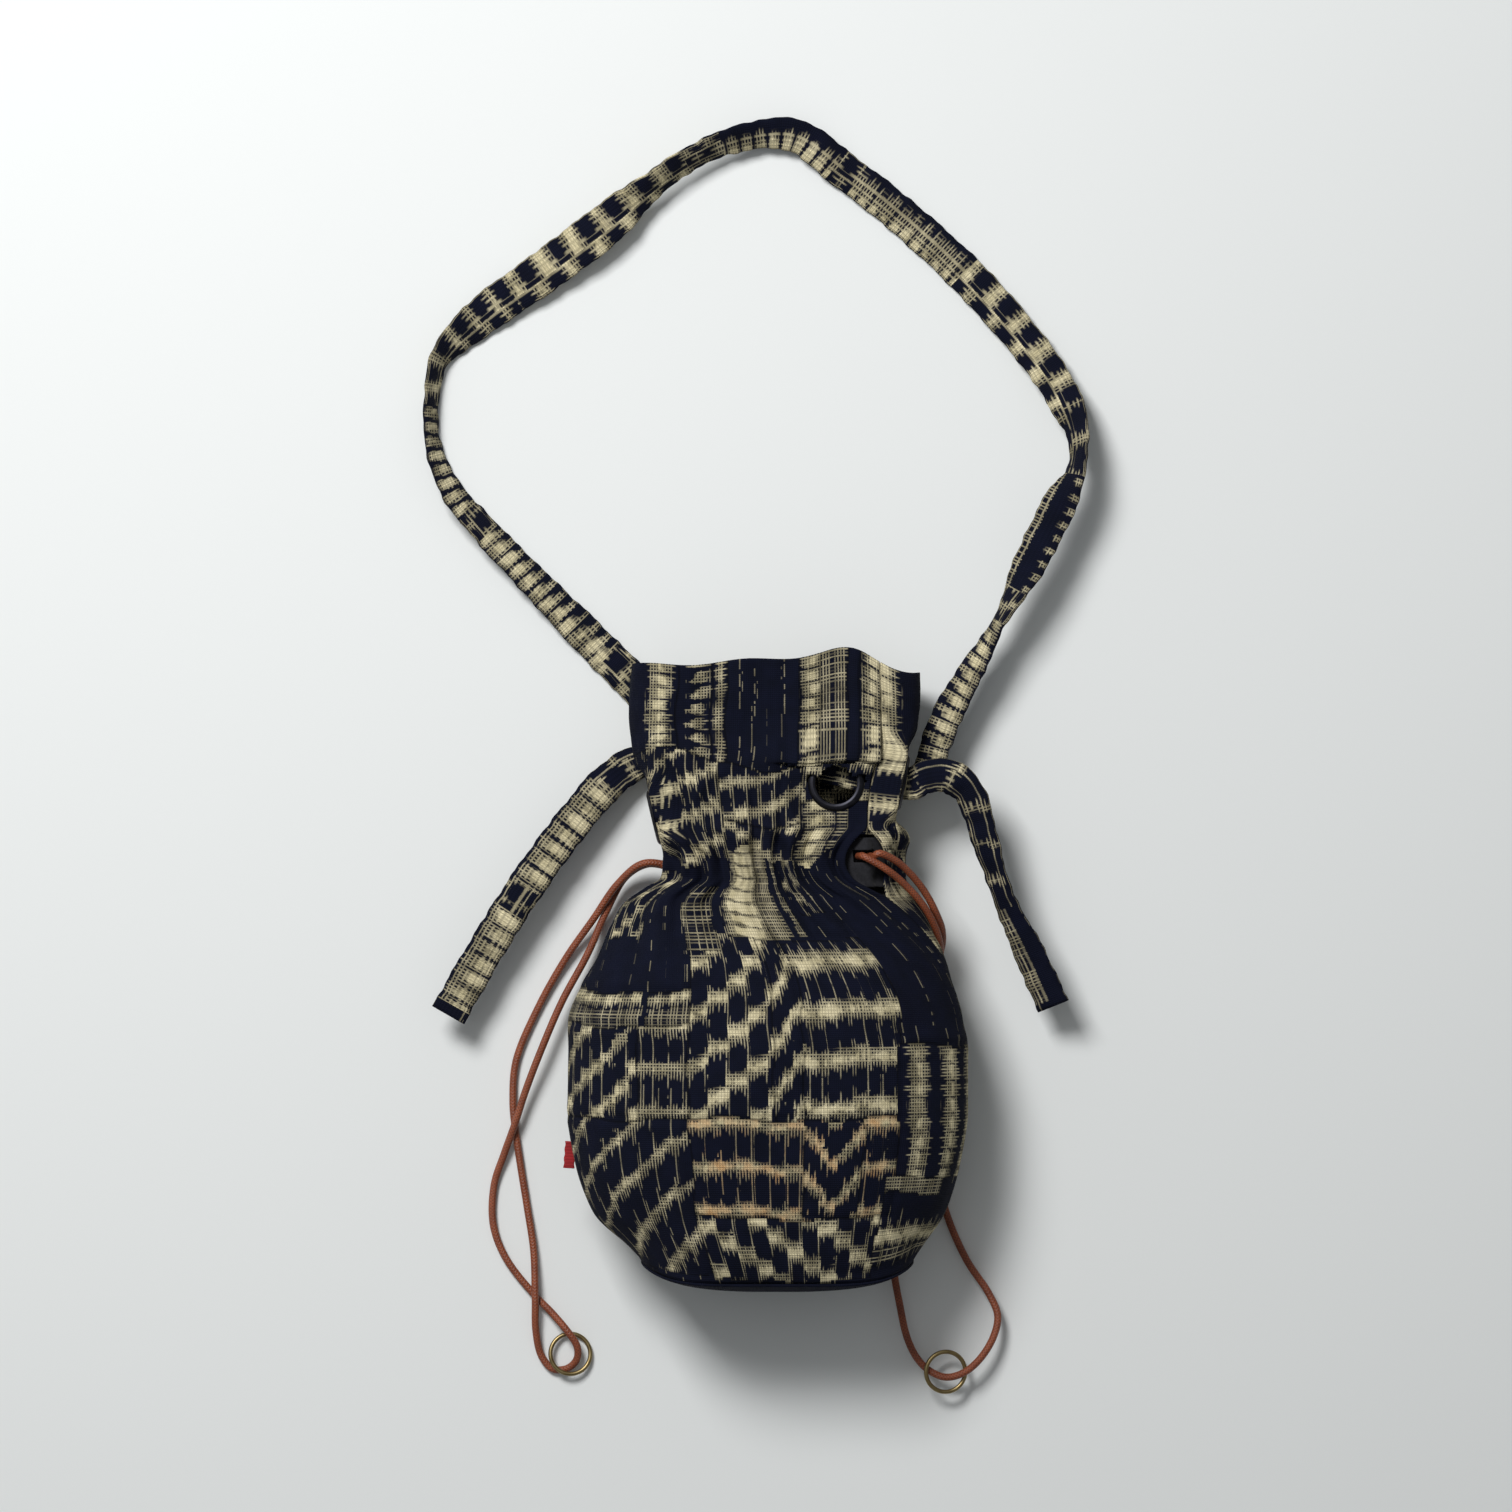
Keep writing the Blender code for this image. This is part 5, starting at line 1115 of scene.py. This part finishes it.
def turned(name, profile, place, finish, slot_name, sides=96):
    """Surface of revolution: point k of the closed profile (radius, height) goes round the place's Z axis."""
    angle = 2 * math.pi * np.arange(sides) / sides
    r, h = np.array(profile).T
    points = np.stack((np.cos(angle)[:, None] * r, np.sin(angle)[:, None] * r, 0 * angle[:, None] + h), 2)
    points = points @ np.array(place.to_3x3()).T + np.array(place.translation)
    count = len(r)
    index = np.arange(sides * count).reshape(sides, count)
    ahead, beside = np.roll(index, -1, 0), np.roll(index, -1, 1)
    both = np.roll(ahead, -1, 1)
    faces = np.stack((index, beside, both, ahead), 2).reshape(-1, 4)
    area = np.sum(r * np.roll(h, -1) - np.roll(r, -1) * h)
    return add_piece(name, points.reshape(-1, 3), faces if area < 0 else faces[:, ::-1], finish)


def rounded(points, radius, steps=5):
    """Profile with each corner replaced by a quadratic curve that starts radius away from it."""
    points = np.array(points, float)
    t = np.linspace(0, 1, steps)[:, None]
    out = []
    for before, here, after in zip(np.roll(points, 1, 0), points, np.roll(points, -1, 0)):
        a, b = before - here, after - here
        la, lb = np.linalg.norm(a), np.linalg.norm(b)
        start = here + a / la * min(radius, la * 0.45)
        end = here + b / lb * min(radius, lb * 0.45)
        out.append((1 - t) ** 2 * start + 2 * t * (1 - t) * here + t**2 * end)
    return np.concatenate(out)


def seat_place(centre, normal):
    """Frame of a seat: Z along its normal and X up the collar."""
    normal = Vector(normal)
    up = (Vector((0, 1, 0)) - normal * normal.y).normalized()
    return Matrix.Translation(centre) @ Matrix((up, normal.cross(up), normal)).transposed().to_4x4()


bore, rim = EYELET_BORE / 2, EYELET_DIAMETER / 2
barrel = bore + EYELET_WALL
washer_back = -CLOTH - WASHER_GAP - WASHER - GAP
eyelet_profile = rounded((
    (bore, washer_back - CURL), (bore, FLANGE * 0.9), (bore + FLANGE_ROUNDING, GAP + FLANGE),
    (rim - 0.8 * FLANGE_ROUNDING, GAP + FLANGE * 0.7), (rim, GAP), (barrel, GAP), (barrel, washer_back),
    (barrel + CURL_REACH, washer_back), (barrel + CURL_REACH - 0.2 * MM, washer_back - CURL),
), 0.45 * MM)
washer_front, washer_rim = -CLOTH - WASHER_GAP, rim - 1 * MM
washer_profile = rounded((
    (barrel + GAP, washer_front - WASHER), (barrel + GAP, washer_front),
    (washer_rim, washer_front), (washer_rim, washer_front - WASHER),
), 0.2 * MM, 3)
for name, (centre, normal) in SEATS.items():
    place = seat_place(centre, normal)
    for kind, profile in (("eyelet_", eyelet_profile), ("washer_", washer_profile)):
        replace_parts(turned(f"{kind}metal_{name}", profile, place, gunmetal, "dark_metal"), kind + name)

RING_DIAMETER, RING_WIRE = 24.4 * MM, 2.4 * MM
around = 2 * math.pi * np.arange(20) / 20
wire = RING_WIRE / 2
wire_profile = np.stack((RING_DIAMETER / 2 - wire + wire * np.cos(around), wire * np.sin(around)), 1)
# Middle in mm, then the direction in which the ring leans and by how much, in degrees.
RINGS = {"left": ((-108.6, -144.8, 3.6), (225, 11)), "right": ((97.4, -154.0, 11.6), (176, 11))}
rings = {}
for name, (middle, lean) in RINGS.items():
    direction, angle = (math.radians(value) for value in lean)
    axis = Vector((math.sin(direction), -math.cos(direction), 0))
    place = Matrix.Translation(Vector(middle) * MM) @ Matrix.Rotation(angle, 4, axis)
    rings[name] = turned("ring_wire_" + name, wire_profile, place, old_brass, "old_brass", 120)
    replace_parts(rings[name], "cord_ring_" + name)
print("turned", len(SEATS) * 2, "eyelet pieces and", len(rings), "rings")

# %% [markdown]
# ## Drawcords
# Two round cords run round the neck in the casing. Each leaves it through its own slit, goes down beside the
# bag, through a ring, and back into the same slit. They are tubes carried along a smooth curve through
# points.

# %% Cord routes
LEFT_CORD = (
    (-66, 124.5, 14), (-78, 117.5, 9), (-88, 100, 7), (-99, 75, 9.5), (-113, 49, 12), (-125, 21, 12),
    (-133, 0, 9.5), (-139.2, -19, 7.2), (-145, -35, 4), (-150.5, -52, 2.1), (-151, -74, 2.1),
    (-144, -92.5, 2.1), (-128, -113, 2.2), (-119, -122, 4.4), (-110.8, -131.2, 8.0), (-104.8, -140.5, 7.0),
    (-105.2, -148.0, 4.6), (-110.5, -153.0, 2.4), (-118.3, -153.2, 2.1), (-124.5, -146, 2.4),
    (-127.5, -132, 5), (-127.8, -114, 7.2), (-128.7, -88.6, 4), (-132.6, -62.7, 2.1), (-136.4, -39, 2.1),
    (-139.2, -19, 2.2), (-140.2, -6, 2.1), (-138.5, 16, 2.1), (-126.5, 45, 2.1), (-111, 72.6, 4),
    (-96, 94, 8.5), (-82, 114, 14), (-68, 125, 20),
)
RIGHT_CORD = (
    (60, 131, 63.5), (69, 127, 58.5), (77.5, 119.5, 51.5), (85, 110, 46), (91, 99, 41), (95, 88, 33),
    (94, 76, 22), (85, 60, 10), (80, 42, 3), (81, 20, 2.1), (82, -5, 2.1), (79, -35, 2.1), (73, -62, 2.1),
    (69, -84, 2.4), (69.3, -100, 4), (72, -116, 7), (76.5, -136, 9.5), (82, -147, 10), (88.5, -153.5, 10),
    (97.4, -157, 11.2), (107.0, -154.5, 13.2), (116.5, -146.5, 12.5), (124, -134, 11), (126, -123, 9),
    (121, -111, 7), (109, -93, 4), (97.5, -66, 2.1), (92, -40, 2.1), (89, -8, 2.1), (88, 18, 2.2),
    (87, 42, 6), (90, 60, 15), (94, 75, 28.5), (92.5, 86, 39), (88, 96.5, 46), (81.5, 106, 51),
    (73, 115, 56), (63, 123, 62),
)
CORD_BEND, CORD_SPREAD, CORD_OUT_OF_SLIT, CORD_STEP = 8 * MM, 2.9 * MM, 3 * MM, 1.2 * MM


def smooth_path(points, per_span):
    """Centripetal Catmull-Rom curve: knots are spaced by the square root of the distance between points."""
    points = np.asarray(points, float)
    points = np.concatenate((2 * points[:1] - points[1:2], points, 2 * points[-1:] - points[-2:-1]))
    knots = np.concatenate(((0,), np.cumsum(np.linalg.norm(np.diff(points[:, :3], axis=0), axis=1) ** 0.5)))
    t = np.linspace(0, 1, per_span, endpoint=False)[None, :, None]
    p = [points[k:len(points) - 3 + k][:, None, :] for k in range(4)]
    k = [knots[i:len(points) - 3 + i][:, None, None] for i in range(4)]
    t = k[1] + (k[2] - k[1]) * t
    a1 = (p[0] * (k[1] - t) + p[1] * (t - k[0])) / (k[1] - k[0])
    a2 = (p[1] * (k[2] - t) + p[2] * (t - k[1])) / (k[2] - k[1])
    a3 = (p[2] * (k[3] - t) + p[3] * (t - k[2])) / (k[3] - k[2])
    b1 = (a1 * (k[2] - t) + a2 * (t - k[0])) / (k[2] - k[0])
    b2 = (a2 * (k[3] - t) + a3 * (t - k[1])) / (k[3] - k[1])
    curve = ((b1 * (k[2] - t) + b2 * (t - k[1])) / (k[2] - k[1])).reshape(-1, points.shape[1])
    return np.concatenate((curve, points[-2:-1]))


def even(path, step):
    """The path again with points the same small step apart."""
    length = np.concatenate(((0,), np.cumsum(np.linalg.norm(np.diff(path[:, :3], axis=0), axis=1))))
    places = np.linspace(0, length[-1], int(length[-1] / step) + 1)
    return np.stack([np.interp(places, length, path[:, k]) for k in range(path.shape[1])], 1), length[-1]


def cord_route(y, is_right, free_points):
    """Once round the neck inside the casing, out of the slit, the free loop, and in again beside it."""
    outer, inside = sections(y), sections(y, CORD_IN)
    right, left = seam_places(np.array([y]), outer)
    point, inward = along(outer, (right if is_right else left)[:, None])
    (x, z), (in_x, in_z) = point[0, 0], inward[0, 0]
    target = np.array((x, z)) + inward[0, 0] * CORD_IN
    start = inside[1][0][np.argmin(np.linalg.norm(inside[0][0] - target, axis=1))]
    clear = CORD_SPREAD + CORD_BEND
    places = np.linspace(start + clear, start + inside[1][0, -1] - clear, 30)
    ring_points, _ = along(inside, places[None, :])
    run = np.stack((ring_points[0, :, 0], np.full(30, y), ring_points[0, :, 1]), 1)
    centre, inward3, ahead = np.array((x, y, z)), np.array((in_x, 0, in_z)), np.array((in_z, 0, -in_x))
    depths = (CORD_IN - 1 * MM, CORD_DIAMETER, -CORD_OUT_OF_SLIT)
    strands = [np.array([centre + ahead * side * CORD_SPREAD + inward3 * depth for depth in depths])
               for side in (1, -1)]
    if np.linalg.norm(strands[0][0] - run[-1]) > np.linalg.norm(strands[1][0] - run[-1]):
        strands.reverse()
    free = np.array(free_points) * MM
    route = np.concatenate((run, strands[0], free, strands[1][::-1]))
    path, length = even(smooth_path(route, 10), CORD_STEP)
    path[:, 2] = np.maximum(path[:, 2], CORD_DIAMETER / 2)
    return path, length, strands[0][1]


FLOOR_GAP = 0.05 * MM


def tube(name, node_name, path, radius_x, radius_y, across, finish, sides, power=1.0, pattern=None,
         unevenness=None):
    """Closed tube: a superellipse ring (|cos|^power, |sin|^power) set square to the path at each point.

    unevenness is a function that gives an offset for every point. Rings that go into the floor are lifted.
    """
    heading = np.gradient(path, axis=0)
    heading /= np.linalg.norm(heading, axis=1, keepdims=True)
    across = across - heading * np.sum(across * heading, 1, keepdims=True)
    across /= np.linalg.norm(across, axis=1, keepdims=True)
    up = np.cross(heading, across)
    angle = 2 * math.pi * np.arange(sides) / sides
    c, s = np.cos(angle), np.sin(angle)
    flat = np.sign(c) * np.abs(c) ** power
    tall = np.sign(s) * np.abs(s) ** power
    radius_x, radius_y = np.broadcast_to(radius_x, len(path)), np.broadcast_to(radius_y, len(path))
    points = path[:, None] + across[:, None] * (flat * radius_x[:, None])[..., None] \
        + up[:, None] * (tall * radius_y[:, None])[..., None]
    if unevenness is not None:
        points = points + unevenness(across, up, angle)
    low = points[..., 2].min(1)
    points[..., 2] += np.maximum(FLOOR_GAP - low, 0)[:, None]
    rows = len(path)
    index = np.arange(rows * sides).reshape(rows, sides)
    nxt = np.roll(index, -1, 1)
    faces = np.stack((index[:-1], nxt[:-1], nxt[1:], index[1:]), 2).reshape(-1, 4)
    caps = []
    for ring in (index[0][::-1], index[-1]):
        half = sides // 2
        order = np.arange(half - 1)
        across_cap = ring[order], ring[order + 1], ring[sides - 2 - order], ring[sides - 1 - order]
        caps.append(np.stack(across_cap, 1))
    faces = np.concatenate((faces, *caps))
    made = add_piece(name, points.reshape(-1, 3), faces, finish)
    steps = np.linalg.norm(np.diff(path, axis=0), axis=1)
    length = np.concatenate(((0,), np.cumsum(steps))) * 1000
    girth = float(np.mean(radius_x + radius_y)) * math.pi * 1000
    u = np.arange(sides) / sides * girth
    corner_u, corner_v = np.tile(u, rows)[faces], np.repeat(length, sides)[faces]
    lap = corner_u.max(1, keepdims=True) - corner_u > girth / 2
    corner_u = corner_u + lap * girth
    dress(made, corner_u, corner_v, pattern)
    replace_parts(made, node_name)
    return made


def cord_material():
    """Braided cotton cord, dyed rust brown and waxed: a soft sheen, strands 1.4 mm wide that cross, with
    painted shade between them.
    """
    made, tree, shader = new_material("waxed_braided_cord")
    uv = node(tree, "UVMap", uv_map="cloth")
    waves = []
    for turn in (0.9, -0.9):
        way = node(tree, "Mapping", {"Vector": uv, "Rotation": (0, 0, turn)})
        waves.append(node(tree, "TexWave", {"Vector": way, "Scale": 22.0, "Distortion": 0.4}).outputs["Fac"])
    braid = node(tree, "Math", waves, **LARGER)
    patchy = node(tree, "TexNoise", {"Vector": uv, "Scale": 14.0, "Detail": 4.0})
    # Painted shade: the colour is darker where the braid is low, between the strands, and varies in random
    # patches.
    braid_shade_and_patches = node(tree, "Math", (braid, patchy), **TIMES)
    colour = node(tree, "Mix", {"Factor": braid_shade_and_patches, "A": linear("#5E2A18"), "B": linear("#A85A34")}, **COLOURS)
    bump = node(tree, "Bump", {"Height": braid, "Distance": 0.0004, "Strength": 0.6})
    feed(tree, shader, {"Base Color": colour, "Normal": bump, "Roughness": 0.5})
    return made


cord_finish = cord_material()
for name, y, free_points in (("left", NECK_ABOVE - CORD_PITCH / 2, LEFT_CORD),
                             ("right", NECK_ABOVE + CORD_PITCH / 2, RIGHT_CORD)):
    path, length, leaves = cord_route(y, name == "right", free_points)
    heading = np.gradient(path, axis=0)
    across = np.cross(heading, np.array((0.05, 0.03, 1.0)))
    cord = tube("cord_" + name, "drawcord_" + name, path, CORD_DIAMETER / 2, CORD_DIAMETER / 2, across,
                cord_finish, 14)
    print("cord", name, "is", round(length * 1000), "mm long")

# %% [markdown]
# ## Strap
# One long flat tube of the same cloth is the shoulder strap. It turns back through the left and the right
# rear eyelet, and its two ends hang free. Its cross-section is a flattened oval, twisted along its way.

# %% Strap
# Rows: x, y and z of the middle in mm, roll in degrees, width as a share of STRAP_WIDTH.
LEFT_TAIL = (
    (-175, 42, 22, 5, 1.0), (-156, 75, 22, 5, 1.0), (-138, 104, 22, 0, 1.0), (-120, 130, 21, 0, 1.0),
    (-103, 152, 19.5, 0, 1.0), (-88, 169, 16, 0, 1.0),
)
# Beside a rear eyelet the rows are measured from its middle.
LEFT_ARRIVAL = ((-40.5, 10.5, -4.8, 0, 0.95), (-27.5, 12, -6.6, 0, 0.85))
LEFT_DEPARTURE = ((-7.5, 10, -14.3, 0, 0.8), (-23.5, 32, -16.3, 0, 0.9))
RIGHT_ARRIVAL = ((26.9, 40.9, -11.5, 15, 0.85), (18.9, 21.9, -11, 5, 0.85), (13.9, 6.9, -8, 5, 0.78))
RIGHT_DEPARTURE = ((10.9, 2.4, 6, 0, 0.85), (23.9, 3.9, 6.5, 0, 0.95), (34.9, -3.1, 4.5, 20, 0.9))
LOOP = (
    (-77, 227, 0, 0, 1.0), (-92, 242, 0, 0, 1.0), (-131, 282, 0, 25, 0.9), (-153, 305, 0, 35, 0.9),
    (-174, 330, 0, 50, 0.9), (-184, 356, 0, 68, 0.9), (-184.5, 380, 0, 70, 0.9), (-180, 402, 0, 58, 0.9),
    (-158, 424.5, 5, 12, 1.05), (-125, 448, 8, 0, 1.15), (-90, 474, 13, 0, 1.15),
    (-66, 494.5, 16, 42, 0.95), (-38, 513.5, 16, 50, 0.9), (-10, 523.5, 13, 38, 0.9),
    (15, 524, 10, 20, 0.95), (42, 505, 4, 0, 1.0), (67, 486, 0, 0, 1.0), (111, 446, 0, 0, 1.05),
    (147, 404, 7, 0, 1.0), (161, 382, 14, 0, 0.95), (169.5, 360, 22, 48, 0.85), (168.5, 341, 27, 60, 0.85),
    (159, 321, 29, 12, 0.95), (143, 289, 29, 20, 0.95), (127, 258, 26, 70, 0.85), (114, 235, 23, 45, 0.85),
)
RIGHT_TAIL = (
    (114, 153, 36, 30, 0.9), (118.5, 137, 34, 35, 0.85), (124, 120, 32, 45, 0.8), (130, 103, 30, 45, 0.8),
    (140, 82, 28, 30, 0.9), (150, 60, 26, 25, 0.95), (156, 47, 25, 25, 0.95),
)
STRAP_WIDTH, STRAP_THICKNESS, STRAP_STEP = 20 * MM, 4.5 * MM, 2 * MM
STRAP_IN_EYELET, STRAP_SQUARENESS = 0.86, 0.8
BIGHT_GAP, BIGHT_LEGS, LEFT_BIGHT_REACH, RIGHT_BIGHT_REACH = 6.8 * MM, (-5 * MM, 4 * MM), 11 * MM, 44 * MM
LEFT_BIGHT_APART, RIGHT_BIGHT_APART = (0.93, -0.37, 0), (0, 0, 1)


def bight(seat_values, apart, reach):
    """Rows of the turn inside an eyelet: in beside one wall of the bore, round, and out beside the other."""
    centre, normal = seat_values
    inward, apart = -normal, np.array(apart) / np.linalg.norm(apart)
    offset = apart * (STRAP_THICKNESS + BIGHT_GAP) / 2
    across = np.cross(inward, apart)
    depths = (*BIGHT_LEGS, reach - np.linalg.norm(offset))
    legs = [[centre + offset * side + inward * depth for depth in depths] for side in (-1, 1)]
    return [(point, across) for point in legs[0] + [centre + inward * reach] + legs[1][::-1]]


def strap_rows():
    """Position, direction across and width of each control row, with its roll worked in."""
    def free(points, middle=np.zeros(3)):
        return [(middle + np.array(p[:3]) * MM, None, math.radians(p[3]), p[4]) for p in points]

    def turn_back(points):
        return [(point, across, 0.0, STRAP_IN_EYELET) for point, across in points]

    left, right = SEATS["back_left"], SEATS["back_right"]
    rows = free(LEFT_TAIL) + free(LEFT_ARRIVAL, left[0])
    rows += turn_back(bight(left, LEFT_BIGHT_APART, LEFT_BIGHT_REACH))
    rows += free(LEFT_DEPARTURE, left[0]) + free(LOOP) + free(RIGHT_ARRIVAL, right[0])
    rows += turn_back(bight(right, RIGHT_BIGHT_APART, RIGHT_BIGHT_REACH))
    rows += free(RIGHT_DEPARTURE, right[0]) + free(RIGHT_TAIL)
    centres = np.array([row[0] for row in rows])
    heading = np.gradient(centres, axis=0)
    heading /= np.linalg.norm(heading, axis=1, keepdims=True)
    out = []
    for i, (centre, given, roll, width) in enumerate(rows):
        level = given if given is not None else np.cross((0, 0, 1), heading[i])
        level = level / np.linalg.norm(level)
        direction = level * math.cos(roll) + np.cross(heading[i], level) * math.sin(roll)
        if out and direction @ out[-1][3:6] < 0:
            direction = -direction
        width = width * STRAP_WIDTH
        if given is None:
            flat = math.sqrt(max(1 - direction[2] ** 2, 0))
            centre = centre.copy()
            centre[2] = max(centre[2], (abs(direction[2]) * width + flat * STRAP_THICKNESS) / 2 + 0.1 * MM)
        out.append(np.array((*centre, *direction, width)))
    return np.array(out)


STRAP_PATCHES = (
    (-9, 50, 6, 66, ladder, dict(middles=(10.5,), width=7, pitch=9.4, comb=4, grid=3, tick=0.5)),
    (-9, 50, 66, 82, bars, dict(column=5, period=13, width=4, slope=0.6, teeth=2, grid=2)),
    (-9, 50, 82, 150, ladder, dict(middles=(10.5,), width=7, pitch=9.4, comb=3, grid=2, tick=0.5)),
    (-9, 50, 150, 230, bars, dict(column=6.4, period=18, width=5, slope=0.7, teeth=3, grid=3)),
    (-9, 50, 270, 345, bars, dict(column=6.4, period=17, width=7, slope=0.9, teeth=3, grid=2)),
    (-9, 50, 345, 440, ladder, dict(middles=(25,), width=6.5, pitch=8.2, comb=2, grid=9, tooth=-1.5,
        tick=0.5)),
    (-9, 50, 440, 455, bars, dict(column=6.4, period=14, width=4, slope=0.7, teeth=2)),
    (-9, 50, 455, 520, ladder, dict(middles=(25,), width=8, pitch=8, comb=2, grid=9, tooth=-1, tick=0.9)),
    (-9, 50, 520, 600, bars, dict(column=9.6, period=15, width=7, slope=0.2, teeth=4, grid=3)),
    (-9, 50, 600, 720, bars, dict(column=9.6, period=20, width=11, slope=1.04, teeth=3, grid=3)),
    (-9, 50, 720, 742, bars, dict(column=5, period=13, width=6, slope=0.9, teeth=3)),
    (-9, 50, 742, 812, ladder, dict(middles=(31.5,), width=8, pitch=8, comb=1, grid=2, tick=0.5)),
    (-9, 50, 812, 826, bars, dict(column=9.6, period=15, width=5, slope=0.7)),
    (-9, 50, 826, 905, ladder, dict(middles=(32,), width=7, pitch=7.7, comb=4, grid=2, tick=0.6)),
    (-9, 50, 905, 1000, bars, dict(column=9.6, period=20, width=10, slope=1.04, teeth=3, grid=3)),
    (-9, 50, 1000, 1040, bars, dict(column=9.6, period=22, width=7, slope=0.4, teeth=4)),
    (30, 50, 1040, 1110, lattice, dict(grid=6)),
    (-9, 30, 1040, 1110, ladder, dict(middles=(21.5,), width=2.5, pitch=8, comb=1, grid=1, tick=1.2)),
    (-9, 50, 1110, 1130, bars, dict(column=6.4, period=13, width=6, slope=0.6, teeth=2)),
    (-9, 50, 1130, 1225, ladder, dict(middles=(25.5,), width=6.5, pitch=8, comb=2, grid=9, tooth=-1,
        tick=0.5)),
    (-9, 50, 1225, 1340, bars, dict(column=6.4, period=17, width=6, slope=0.7, teeth=3, grid=2)),
    (-9, 50, 1340, 1440, bars, dict(column=6.4, period=21, width=4, slope=-0.6, teeth=5, grid=3)),
    (9.5, 19, 1440, 1496, lattice, dict(grid=5)),
)
strap_table = smooth_path(strap_rows(), 30)
strap_table, strap_length = even(strap_table, STRAP_STEP)


def puckers(across, up, angle):
    """Waves along the strap that lift its edges, draw its width in and out and dent its faces."""
    place = np.arange(len(across)) * STRAP_STEP / MM
    wave = np.sin(place * 0.55 + 2 * np.sin(place * 0.043)) + 0.7 * np.sin(place * 0.23 + 1.7)
    edge = np.abs(np.cos(angle)) ** 2
    height = 0.35 * MM * wave[:, None] * edge[None, :]
    ragged = np.sin(place * 0.31 + 1.3 * np.sin(place * 0.11)) + 0.6 * np.sin(place * 0.83 + 2.0)
    stretch = 0.32 * MM * ragged[:, None] * np.cos(angle)[None, :]
    dent = -0.7 * MM * np.maximum(np.sin(place * 0.19 + 2.2 * np.sin(place * 0.05)), 0)[:, None] ** 2
    dent = dent * np.sin(angle)[None, :] * np.abs(np.cos(angle * 1.5 + 0.4))[None, :]
    return up[:, None] * (height + dent)[..., None] + across[:, None] * stretch[..., None]


def strap_pattern(u, v):
    """The strap's patches run into each other with no seam, so the distance to a seam is large everywhere."""
    return patchwork(STRAP_PATCHES)(u, v) | {"seam": np.full(u.shape, NO_SEAM)}


strap = tube("strap_cloth", "shoulder_strap", strap_table[:, :3], strap_table[:, 6] / 2, STRAP_THICKNESS / 2,
             strap_table[:, 3:6], kasuri, 32, power=STRAP_SQUARENESS, pattern=strap_pattern,
             unevenness=puckers)
print("strap", round(strap_length * 1000), "mm long,", len(strap.data.polygons), "faces")

# %% [markdown]
# ## Seam tab
# A scrap of red woven tape, folded and caught in the left seam. It is bare.

# %% Tab
def tape_material():
    """Woven cotton tape, dyed red: matt, with ribs 0.8 mm apart across it, and painted shade between them."""
    made, tree, shader = new_material("red_woven_tape")
    place = node(tree, "TexCoord").outputs["Object"]
    ribs = node(tree, "TexWave", {"Vector": place, "Scale": 400.0, "Distortion": 1.0},
                bands_direction="Y").outputs["Fac"]
    # Painted shade: the colour is darker between the ribs, where the bump is low.
    colour = node(tree, "Mix", {"Factor": ribs, "A": linear("#7E1016"), "B": linear("#B5262A")}, **COLOURS)
    bump = node(tree, "Bump", {"Height": ribs, "Distance": 0.0004, "Strength": 0.8})
    feed(tree, shader, {"Base Color": colour, "Normal": bump, "Roughness": 0.85})
    return made


TAB_WIDTH, TAB_THICKNESS, TAB_WAVE, TAB_ROWS = 6.2 * MM, 1.5 * MM, 0.3 * MM, 24
tab_low, tab_high = (np.array(corner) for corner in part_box("seam_tab"))
share = np.linspace(0, 1, TAB_ROWS)
tab_path = np.stack((
    np.linspace(tab_high[0] - 3.6 * MM, tab_high[0] - 2.6 * MM, TAB_ROWS),
    np.linspace(tab_low[1], tab_high[1], TAB_ROWS),
    (tab_low[2] + tab_high[2]) / 2 + TAB_WAVE * np.sin(share * 7),
), 1)
tab = tube("seam_tape", "seam_tab", tab_path, TAB_WIDTH / 2 * (1 - 0.12 * np.sin(share * 9) ** 2),
           TAB_THICKNESS / 2, np.tile((1.0, 0, 0), (TAB_ROWS, 1)), tape_material(), 24, power=0.6)
print("tab", len(tab.data.polygons), "faces")
